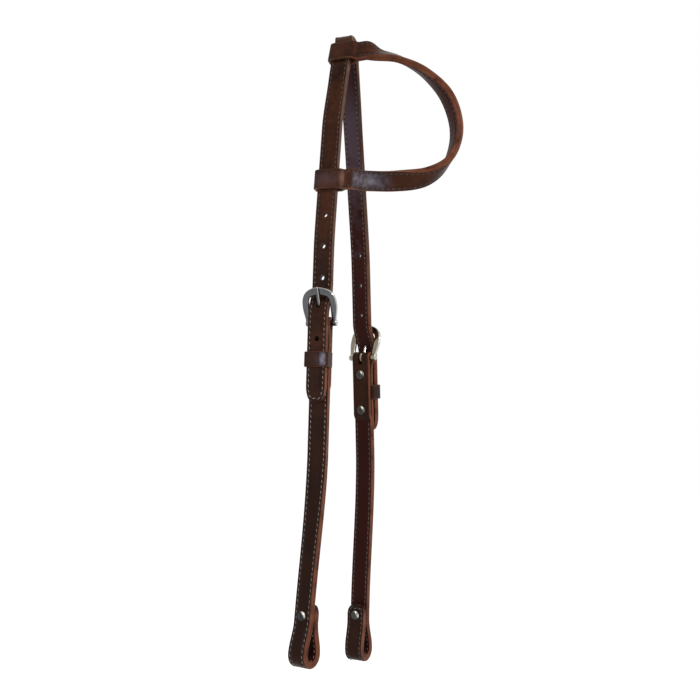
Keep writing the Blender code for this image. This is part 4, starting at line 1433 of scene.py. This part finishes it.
def row_points(ply, cut, first, last):
    """(place, normal) along the stitch rows from section first to last, round the ply's tips."""
    marks, halves, inset = ply.marks, ply.halves, cut.groove_inset
    side = []
    for i in range(first, last + 1):
        mark = marks[i]
        if "start" in ply.tips and mark < inset or "end" in ply.tips and mark > marks[-1] - inset:
            continue
        across = halves[i] - inset
        for step in (-1, 1):
            j = i + step
            while 0 <= j < len(marks) and abs(marks[j] - mark) < inset:
                across = min(across, halves[j] - math.sqrt(inset**2 - (marks[j] - mark) ** 2))
                j += step
        side.append((i, across))

    def spot(i, across):
        place, width, normal = ply.frames[i]
        off = ply.thickness / 2 - cut.groove_depth * ply.sewn[i]
        return place + width * across + normal * off, normal

    def cap(i, across):
        return [spot(i, across * share) for share in CAP_SHARES]

    front = [spot(i, across) for i, across in side]
    rear = [spot(i, -across) for i, across in reversed(side)]
    if "end" not in ply.tips:
        return [(front, False), (rear, False)]
    row = front + cap(*side[-1]) + rear
    if "start" in ply.tips:
        return [(row + cap(side[0][0], -side[0][1]), True)]
    return [(row, False)]


class HEADSTALL_OT_stitching(bpy.types.Operator):
    """Thread and awl holes along every sewn edge"""

    bl_idname = "headstall.stitching"
    bl_label = "Stitching"

    def execute(self, context):
        cut = context.scene.headstall_leather
        rows = []
        crown, _, _ = crown_plies()
        for ply in crown:
            rows += row_points(ply, cut, 0, len(ply.frames) - 1)
        for leg in LEGS:
            for ply in cheek_plies(leg):
                first = next(i for i, share in enumerate(ply.sewn) if share > 0.5)
                rows += row_points(ply, cut, first, len(ply.frames) - 1)
        self.sew("thread_headstall", rows, "headstall", context)
        rows = []
        for ply in ear_plies():
            rows += row_points(ply, cut, 1, len(ply.frames) - 2)
        self.sew("thread_ear_piece", rows, "ear_piece", context)
        return {"FINISHED"}

    def sew(self, name, rows, body, context):
        """One body's thread, laid along its (spots, round again) rows."""
        look = context.scene.headstall_thread
        verts, normals, edges = [], [], []
        for spots, round_again in rows:
            start = len(verts)
            for place, normal in spots:
                verts.append(place)
                normals.extend(normal)
            edges.extend((i, i + 1) for i in range(start, len(verts) - 1))
            if round_again:
                edges.append((len(verts) - 1, start))
        mesh = bpy.data.meshes.new(name)
        mesh.from_pydata(verts, edges, [])
        faces = mesh.attributes.new("face_normal", "FLOAT_VECTOR", "POINT")
        faces.data.foreach_set("vector", normals)
        made = link(name, mesh)
        step = made.modifiers.new("stitches", "NODES")
        step.node_group = known(bpy.data.node_groups, "Stitches", stitch_tree)
        values = {
            "Pitch": look.pitch,
            "Length": look.length,
            "Radius": look.radius,
            "Slant": look.slant,
            "Hole Radius": look.hole_radius,
            "Thread": known(bpy.data.materials, "Waxed thread", thread_material),
            "Hole": known(bpy.data.materials, "Awl hole shade", hole_shade_material),
        }
        for item in step.node_group.interface.items_tree:
            if item.name in values and item.in_out == "INPUT":
                step[item.identifier] = values[item.name]
        settle(made)
        made.data.shade_smooth()
        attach(made, body)


def add_node(tree, kind, inputs=None, **settings):
    """A node with its settings, and its inputs set to values or joined to sockets."""
    made = tree.nodes.new(kind)
    for key, value in settings.items():
        setattr(made, key, value)
    for key, value in (inputs or {}).items():
        socket = made.inputs[key]
        if isinstance(value, bpy.types.NodeSocket):
            tree.links.new(value, socket)
        else:
            socket.default_value = value
    return made


def output(tree, kind, inputs=None, **settings):
    """The first output of a new node."""
    return add_node(tree, kind, inputs, **settings).outputs[0]


def maths(tree, operation, one, other, clamp=False):
    """A sum on two numbers or sockets."""
    return output(tree, "ShaderNodeMath", {0: one, 1: other}, operation=operation, use_clamp=clamp)


def known(blocks, name, build):
    """The data block of that name, which is built when it is first asked for."""
    return blocks.get(name) or build(name)


def stitch_tree(name):
    """Slanted stitches along curves, with a near-black awl hole, a painted shade, after each."""
    tree = bpy.data.node_groups.new(name, "GeometryNodeTree")
    face = tree.interface
    face.new_socket("Geometry", in_out="INPUT", socket_type="NodeSocketGeometry")
    for label in ("Pitch", "Length", "Radius", "Slant", "Hole Radius"):
        face.new_socket(label, in_out="INPUT", socket_type="NodeSocketFloat")
    for label in ("Thread", "Hole"):
        face.new_socket(label, in_out="INPUT", socket_type="NodeSocketMaterial")
    face.new_socket("Geometry", in_out="OUTPUT", socket_type="NodeSocketGeometry")
    given = tree.nodes.new("NodeGroupInput").outputs
    out = tree.nodes.new("NodeGroupOutput")

    def vector(x, y, z):
        return output(tree, "ShaderNodeCombineXYZ", {"X": x, "Y": y, "Z": z})

    def sphere(rings):
        return output(
            tree, "GeometryNodeMeshUVSphere", {"Segments": STITCH_SIDES, "Rings": rings, "Radius": 1.0}
        )

    def laid(points, shape, size, material):
        """The shape, turned as the stitches are, at each point."""
        copies = output(
            tree, "GeometryNodeInstanceOnPoints",
            {"Points": points, "Instance": shape, "Rotation": slanted, "Scale": size},
        )
        real = output(tree, "GeometryNodeRealizeInstances", {"Geometry": copies})
        return output(tree, "GeometryNodeSetMaterial", {"Geometry": real, "Material": material})

    rows = output(tree, "GeometryNodeMeshToCurve", {"Mesh": given["Geometry"]})
    spaced = output(
        tree, "GeometryNodeResampleCurve", {"Curve": rows, "Length": given["Pitch"]}, mode="LENGTH"
    )
    normal = add_node(
        tree, "GeometryNodeInputNamedAttribute", {"Name": "face_normal"}, data_type="FLOAT_VECTOR"
    ).outputs["Attribute"]
    tangent = output(tree, "GeometryNodeInputTangent")
    turn = output(
        tree, "FunctionNodeAxesToRotation", {"Primary Axis": normal, "Secondary Axis": tangent},
        primary_axis="Z", secondary_axis="X",
    )
    slant = vector(0.0, 0.0, given["Slant"])
    slanted = output(
        tree, "FunctionNodeRotateRotation", {"Rotation": turn, "Rotate By": slant},
        rotation_space="LOCAL",
    )
    ball = sphere(STITCH_RINGS)
    lying = output(
        tree, "GeometryNodeTransform", {"Geometry": ball, "Rotation": (0.0, math.pi / 2, 0.0)}
    )
    place = output(tree, "GeometryNodeInputPosition")
    parts = add_node(tree, "ShaderNodeSeparateXYZ", {"Vector": place}).outputs
    left = maths(tree, "SUBTRACT", STITCH_END_LIMIT, maths(tree, "MULTIPLY", parts["X"], parts["X"]))
    fuller = maths(tree, "POWER", left, -STITCH_FULLNESS)
    wide, high = (maths(tree, "MULTIPLY", parts[axis], fuller) for axis in "YZ")
    stitch = output(
        tree, "GeometryNodeSetPosition",
        {"Geometry": lying, "Position": vector(parts["X"], wide, high)},
    )
    half = maths(tree, "MULTIPLY", given["Length"], 0.5)
    size = vector(half, given["Radius"], given["Radius"])
    thread = laid(spaced, stitch, size, given["Thread"])
    gap = maths(tree, "MULTIPLY", given["Pitch"], 0.5)
    ahead = output(tree, "ShaderNodeVectorMath", {0: tangent, "Scale": gap}, operation="SCALE")
    between = output(tree, "GeometryNodeSetPosition", {"Geometry": spaced, "Offset": ahead})
    # Each awl hole is a flat near-black dot, a painted shade.
    dot = sphere(HOLE_RINGS)
    across = maths(tree, "MULTIPLY", given["Hole Radius"], HOLE_WIDTH_SHARE)
    deep = maths(tree, "MULTIPLY", given["Hole Radius"], HOLE_DEPTH_SHARE)
    holes = laid(between, dot, vector(given["Hole Radius"], across, deep), given["Hole"])
    both = tree.nodes.new("GeometryNodeJoinGeometry")
    tree.links.new(holes, both.inputs[0])
    tree.links.new(thread, both.inputs[0])
    tree.links.new(both.outputs[0], out.inputs[0])
    return tree


def noise(tree, place, scale, detail=SOFT_DETAIL):
    """Soft random patches, scale of them to a metre."""
    return output(
        tree, "ShaderNodeTexNoise",
        {"Vector": place, "Scale": scale, "Detail": detail, "Roughness": NOISE_ROUGHNESS},
    )


def stretched(tree, value, low, high, new_low=0.0, new_high=1.0):
    """The value, with low to high mapped to new_low to new_high and held there."""
    return output(
        tree, "ShaderNodeMapRange",
        {"Value": value, "From Min": low, "From Max": high, "To Min": new_low, "To Max": new_high},
    )


def mixed(tree, share, one, other, blend="MIX"):
    """A colour between two others, each a socket or red, green and blue."""
    inputs = {MIX_SHARE: share}
    for socket, colour in zip(MIX_COLOURS, (one, other)):
        inputs[socket] = colour if isinstance(colour, bpy.types.NodeSocket) else (*colour, 1.0)
    made = add_node(tree, "ShaderNodeMix", inputs, data_type="RGBA", blend_type=blend)
    return made.outputs[MIX_RESULT]


def object_place(tree):
    """The place on the piece, and its X, Y and Z."""
    place = add_node(tree, "ShaderNodeTexCoord").outputs["Object"]
    return place, add_node(tree, "ShaderNodeSeparateXYZ", {"Vector": place}).outputs


def attribute(tree, name):
    """A number that the mesh holds at each of its points."""
    return add_node(tree, "ShaderNodeAttribute", attribute_name=name).outputs["Fac"]


def shader_group(name, outputs, **inputs):
    """An empty shader group with its sockets, and its input and output nodes."""
    tree = bpy.data.node_groups.new(name, "ShaderNodeTree")
    for label, value in inputs.items():
        socket = tree.interface.new_socket(label, in_out="INPUT", socket_type="NodeSocketFloat")
        socket.default_value = value
    for label in outputs:
        tree.interface.new_socket(label, in_out="OUTPUT", socket_type="NodeSocketFloat")
    return tree, tree.nodes.new("NodeGroupInput").outputs, tree.nodes.new("NodeGroupOutput").inputs


def grain_group(name):
    """Pebbled leather grain: its height, and slow changes of dye and gloss; less of the lighter dye
    low on the legs is a painted shade.
    """
    tree, given, out = shader_group(name, ("Height", "Dye"), Size=1.0)
    place, apart = object_place(tree)
    pebbles = add_node(
        tree, "ShaderNodeTexVoronoi",
        {"Vector": place, "Scale": maths(tree, "DIVIDE", PEBBLES, given["Size"])}, feature="SMOOTH_F1",
    ).outputs["Distance"]
    creases = noise(tree, place, maths(tree, "DIVIDE", CREASES, given["Size"]), FINE_DETAIL)
    raised = maths(tree, "MULTIPLY", creases, CREASE_HEIGHT)
    height = maths(tree, "ADD", maths(tree, "MULTIPLY", pebbles, PEBBLE_HEIGHT), raised)
    wide = stretched(tree, noise(tree, place, WIDE_DYE_PATCHES), *WIDE_DYE_SPREAD, 0.0, WIDE_DYE_MOST)
    small = noise(tree, place, SMALL_DYE_PATCHES, FINE_DETAIL)
    small = stretched(tree, small, *SMALL_DYE_SPREAD, 0.0, SMALL_DYE_MOST)
    # Painted shade: less of the lighter dye low on the legs, more of it higher up.
    by_height = stretched(tree, apart["Z"], SHADED_HEIGHT, HANDLED_AND_LIT_HEIGHT, *SHADED_TO_LIT_DYE)
    dye = maths(tree, "MULTIPLY", maths(tree, "ADD", wide, small), by_height, True)
    tree.links.new(height, out["Height"])
    tree.links.new(dye, out["Dye"])
    return tree


def edge_group(name):
    """Burnished edges: where they show, and the stains that darken them."""
    tree, given, out = shader_group(name, ("Mask", "Dark"), Uneven=EDGE_UNEVEN)
    place, _ = object_place(tree)
    least = maths(tree, "MULTIPLY", given["Uneven"], -1.0)
    wear = noise(tree, place, EDGE_WEAR_PATCHES)
    uneven = stretched(tree, wear, *EVEN_SPREAD, least, given["Uneven"])
    mask = stretched(tree, maths(tree, "ADD", attribute(tree, "rim"), uneven), *RIM_SHOWS)
    tree.links.new(mask, out["Mask"])
    stains = noise(tree, place, EDGE_STAINS, FINE_DETAIL)
    tree.links.new(stretched(tree, stains, *STAIN_SPREAD), out["Dark"])
    return tree


def placed_group(tree, name, build, **values):
    """A shared shader group in a material, with its own values, and its outputs."""
    group = known(bpy.data.node_groups, name, build)
    return add_node(tree, "ShaderNodeGroup", values, node_tree=group).outputs


def new_material(name):
    """A material and its node tree, with its Principled BSDF."""
    made = bpy.data.materials.new(name)
    made.use_nodes = True
    return made, made.node_tree, made.node_tree.nodes["Principled BSDF"]


def leather_material(name):
    """Oiled leather; its lining side is redder and a little duller, with a painted sheen below the
    crown; both sides take painted glints where the mesh holds them.
    """
    lining = name == "Lining leather"
    look = bpy.context.scene.headstall_leather
    made, tree, shader = new_material(name)
    deep, thin = look.face_colour, look.glow_colour
    if lining:
        deep, thin = look.lining_colour, look.lining_glow
    grain = placed_group(tree, "Leather grain", grain_group, Size=1.0)
    edge = placed_group(tree, "Leather edge", edge_group, Uneven=EDGE_UNEVEN)
    place, apart = object_place(tree)
    on_crown = stretched(tree, apart["X"], *CROWN_LOOK, 1.0, 0.0)
    high = stretched(tree, apart["Z"], HANDLED_AND_LIT_HEIGHT - HANDLED_EASE, HANDLED_AND_LIT_HEIGHT)
    greyed = maths(tree, "MULTIPLY", high, on_crown)
    edging = mixed(tree, greyed, look.edge_colour, look.crown_edge_colour)
    face = mixed(tree, grain["Dye"], deep, thin)
    if lining:
        # Painted sheen on the lining below the crown, weaker near the crest and broken up by noise.
        patches = noise(tree, place, SHEEN_PATCHES)
        patchy = stretched(tree, patches, *EVEN_SPREAD, -SHEEN_UNEVEN, SHEEN_UNEVEN)
        sheen = stretched(tree, maths(tree, "ADD", apart["Z"], patchy), SHEEN_LOW, SHEEN_HIGH)
        below = stretched(tree, apart["Z"], SHEEN_TOP - SHEEN_TOP_EASE, SHEEN_TOP, 1.0, SHEEN_AT_TOP)
        sheen = maths(tree, "MULTIPLY", maths(tree, "MULTIPLY", sheen, below), on_crown)
        face = mixed(tree, sheen, face, look.sheen_colour)
    # Painted highlight where the mesh holds a glint, broken up by noise.
    broken_glint = stretched(tree, noise(tree, place, GLINT_PATCHES), *GLINT_SPREAD, *GLINT_BROKEN)
    painted_glint = maths(tree, "MULTIPLY", attribute(tree, "wax"), broken_glint)
    face = mixed(tree, painted_glint, face, look.glint_colour)
    colour = mixed(tree, edge["Mask"], face, mixed(tree, edge["Dark"], edging, thin))
    tree.links.new(colour, shader.inputs["Base Color"])
    roughness = LINING_ROUGHNESS if lining else FACE_ROUGHNESS
    tree.links.new(stretched(tree, grain["Dye"], 0.0, 1.0, *roughness), shader.inputs["Roughness"])
    shader.inputs["Specular IOR Level"].default_value = LINING_SPECULAR if lining else FACE_SPECULAR
    bump = {"Height": grain["Height"], "Strength": GRAIN_BUMP, "Distance": GRAIN_DEPTH}
    tree.links.new(output(tree, "ShaderNodeBump", bump), shader.inputs["Normal"])
    return made


def thread_material(name):
    """Waxed thread, dirtiest high on the right side and low on the left."""
    made, tree, shader = new_material(name)
    place, apart = object_place(tree)
    colour = bpy.context.scene.headstall_thread.colour
    soiled = [value * share for value, share in zip(colour, THREAD_SOILED_SHARES)]
    low = stretched(tree, apart["Y"], -SIDE_EASE, SIDE_EASE, *THREAD_DIRT_LOW)
    high = stretched(tree, apart["Y"], -SIDE_EASE, SIDE_EASE, *THREAD_DIRT_HIGH)
    by_height = stretched(tree, apart["Z"], HANDLED_AND_LIT_HEIGHT - HANDLED_EASE, HANDLED_AND_LIT_HEIGHT, low, high)
    stains = noise(tree, place, THREAD_STAINS)
    stained = stretched(tree, stains, *EVEN_SPREAD, -DIRT_UNEVEN, DIRT_UNEVEN)
    dirt = maths(tree, "ADD", by_height, stained, True)
    tree.links.new(mixed(tree, dirt, colour, soiled), shader.inputs["Base Color"])
    shader.inputs["Roughness"].default_value = THREAD_ROUGHNESS
    return made


def hole_shade_material(name):
    """Near-black for the inside of an awl hole: painted shade."""
    made, _, shader = new_material(name)
    shader.inputs["Base Color"].default_value = HOLE_SHADE_COLOUR
    shader.inputs["Roughness"].default_value = HOLE_ROUGHNESS
    return made


def metal_material(name):
    """Nickel plate, darkened as a painted dark reflection, with a painted highlight where it faces up
    and forward, a painted brighter reflection on the left side, and random tarnish.
    """
    look = bpy.context.scene.headstall_metal
    made, tree, shader = new_material(name)
    place, apart = object_place(tree)
    tarnish = noise(tree, place, TARNISH_PATCHES, FINE_DETAIL)
    # The nickel's own grey is darkened further as a painted dark reflection; the screws take a darker
    # copy, a painted shade.
    left_reflection, shaded_nickel, highlight_range = BUCKLE_LEFT_REFLECTION, look.nickel_and_dark_reflection, BUCKLE_HIGHLIGHT
    if name == "Screw nickel":
        left_reflection, highlight_range = SCREW_LEFT_REFLECTION, SCREW_HIGHLIGHT
        shaded_nickel = [value * SCREW_SHADED_SHARE for value in shaded_nickel]
    # Painted brighter reflection on the left side's plating.
    reflecting_left = stretched(tree, apart["Y"], -SIDE_EASE, SIDE_EASE, 0.0, left_reflection)
    flat = mixed(tree, reflecting_left, shaded_nickel, look.left_reflection_colour)
    # Painted highlight where the surface faces up and forward.
    normal = add_node(tree, "ShaderNodeNewGeometry").outputs["Normal"]
    facing = add_node(
        tree, "ShaderNodeVectorMath", {0: normal, 1: HIGHLIGHT_SIDE}, operation="DOT_PRODUCT"
    ).outputs["Value"]
    highlit = mixed(tree, stretched(tree, facing, *highlight_range, 0.0, HIGHLIGHT_MOST), flat, look.highlight_colour)
    marked = mixed(tree, 1.0, highlit, TARNISH, "MULTIPLY")
    tarnished = stretched(tree, tarnish, *TARNISH_SPREAD)
    tree.links.new(mixed(tree, tarnished, highlit, marked), shader.inputs["Base Color"])
    smooth_end, rough_end = (look.roughness * share for share in PLATING_ROUGHNESS_SHARES)
    gloss = stretched(tree, tarnish, *EVEN_SPREAD, smooth_end, rough_end)
    tree.links.new(gloss, shader.inputs["Roughness"])
    shader.inputs["Metallic"].default_value = 1.0
    return made


class HEADSTALL_OT_stage(bpy.types.Operator):
    """White studio with soft lamps, a floor and the camera"""

    bl_idname = "headstall.stage"
    bl_label = "Stage"

    def execute(self, context):
        stage = context.scene.headstall_stage
        scene = context.scene
        scene.view_settings.view_transform = "Standard"
        self.make_world(scene, stage)
        back = Vector((
            math.sin(stage.azimuth) * math.cos(stage.elevation),
            -math.cos(stage.azimuth) * math.cos(stage.elevation),
            math.sin(stage.elevation),
        ))
        right = Vector((0.0, 0.0, 1.0)).cross(back).normalized()
        up = back.cross(right)
        turn = Matrix((right, up, back)).transposed().to_4x4() @ Matrix.Rotation(stage.roll, 4, "Z")
        lens = bpy.data.cameras.new("camera")
        lens.lens = stage.lens
        lens.clip_start = CLIP_START
        lens.shift_x = stage.shift_x
        lens.shift_y = stage.shift_y
        scene.camera = self.put(scene, lens, Matrix.Translation(AIM + back * stage.distance) @ turn)
        for name, power, size, sideways, upwards, forward in (
            ("key", stage.key_power, 0.28, 0.95, 0.75, 0.75),
            ("fill", stage.fill_power, 0.6, -0.9, 0.3, 0.8),
        ):
            lamp = bpy.data.lights.new(name, "AREA")
            lamp.energy = power
            lamp.size = size
            place = AIM + right * sideways + up * upwards + back * forward
            turn = (place - AIM).to_track_quat("Z", "Y").to_matrix().to_4x4()
            self.put(scene, lamp, Matrix.Translation(place) @ turn)
        self.make_floor()
        return {"FINISHED"}

    def put(self, scene, data, matrix):
        """Puts a camera or a lamp in the scene."""
        made = bpy.data.objects.new(data.name, data)
        made.matrix_world = matrix
        scene.collection.objects.link(made)
        return made

    def make_floor(self):
        """A pale floor below the hanging straps; to the camera it is as white as the studio."""
        bm = bmesh.new()
        bmesh.ops.create_circle(bm, cap_ends=True, segments=FLOOR_SIDES, radius=FLOOR_RADIUS)
        floor = link("floor", mesh_of("floor", bm))
        floor.location.z = FLOOR_HEIGHT
        made, tree, shader = new_material("Floor")
        shader.inputs["Base Color"].default_value = FLOOR_COLOUR
        shader.inputs["Roughness"].default_value = FLOOR_ROUGHNESS
        shader.inputs["Specular IOR Level"].default_value = FLOOR_SPECULAR
        shader.inputs["Emission Color"].default_value = (*WHITE, 1.0)
        rays = tree.nodes.new("ShaderNodeLightPath").outputs
        seen = maths(tree, "MAXIMUM", rays["Is Camera Ray"], rays["Is Glossy Ray"])
        tree.links.new(maths(tree, "MULTIPLY", seen, FLOOR_GLOW), shader.inputs["Emission Strength"])
        floor.data.materials.append(made)

    def make_world(self, scene, stage):
        """Even light on the object, and plain white where the camera or a reflection sees it."""
        world = bpy.data.worlds.new("studio")
        scene.world = world
        world.use_nodes = True
        tree = world.node_tree
        rays = tree.nodes.new("ShaderNodeLightPath").outputs
        seen = maths(tree, "MAXIMUM", rays["Is Camera Ray"], rays["Is Transmission Ray"])
        seen = maths(tree, "MAXIMUM", seen, rays["Is Glossy Ray"])
        sky = tree.nodes["Background"].inputs
        tree.links.new(mixed(tree, seen, [stage.sky] * 3, WHITE), sky["Color"])
        sky["Strength"].default_value = 1.0


SETTINGS = {
    "headstall_leather": HeadstallLeather,
    "headstall_thread": HeadstallThread,
    "headstall_metal": HeadstallMetal,
    "headstall_stage": HeadstallStage,
}
STEPS = (
    HEADSTALL_OT_crown,
    HEADSTALL_OT_cheeks,
    HEADSTALL_OT_ear,
    HEADSTALL_OT_keepers,
    HEADSTALL_OT_buckles,
    HEADSTALL_OT_screws,
    HEADSTALL_OT_stitching,
    HEADSTALL_OT_stage,
)


class HEADSTALL_PT_panel(bpy.types.Panel):
    """Lists the headstall's settings and steps in the sidebar"""

    bl_idname = "HEADSTALL_PT_panel"
    bl_label = "Headstall"
    bl_space_type = "VIEW_3D"
    bl_region_type = "UI"
    bl_category = "Headstall"

    def draw(self, context):
        for setting in SETTINGS:
            group = getattr(context.scene, setting)
            box = self.layout.box()
            for name in group.__annotations__:
                box.prop(group, name)
        for step in STEPS:
            self.layout.operator(step.bl_idname)


def register():
    """Adds the settings, the operators and the panel."""
    for kind in (*SETTINGS.values(), *STEPS, HEADSTALL_PT_panel):
        bpy.utils.register_class(kind)
    for setting, kind in SETTINGS.items():
        setattr(bpy.types.Scene, setting, PointerProperty(type=kind))


def unregister():
    """Takes out what register added."""
    for setting in SETTINGS:
        delattr(bpy.types.Scene, setting)
    for kind in (HEADSTALL_PT_panel, *reversed(STEPS), *SETTINGS.values()):
        bpy.utils.unregister_class(kind)


def main():
    """Builds the headstall and its stage."""
    register()
    for step in STEPS:
        group, name = step.bl_idname.split(".")
        getattr(getattr(bpy.ops, group), name)()


if __name__ == "__main__":
    main()
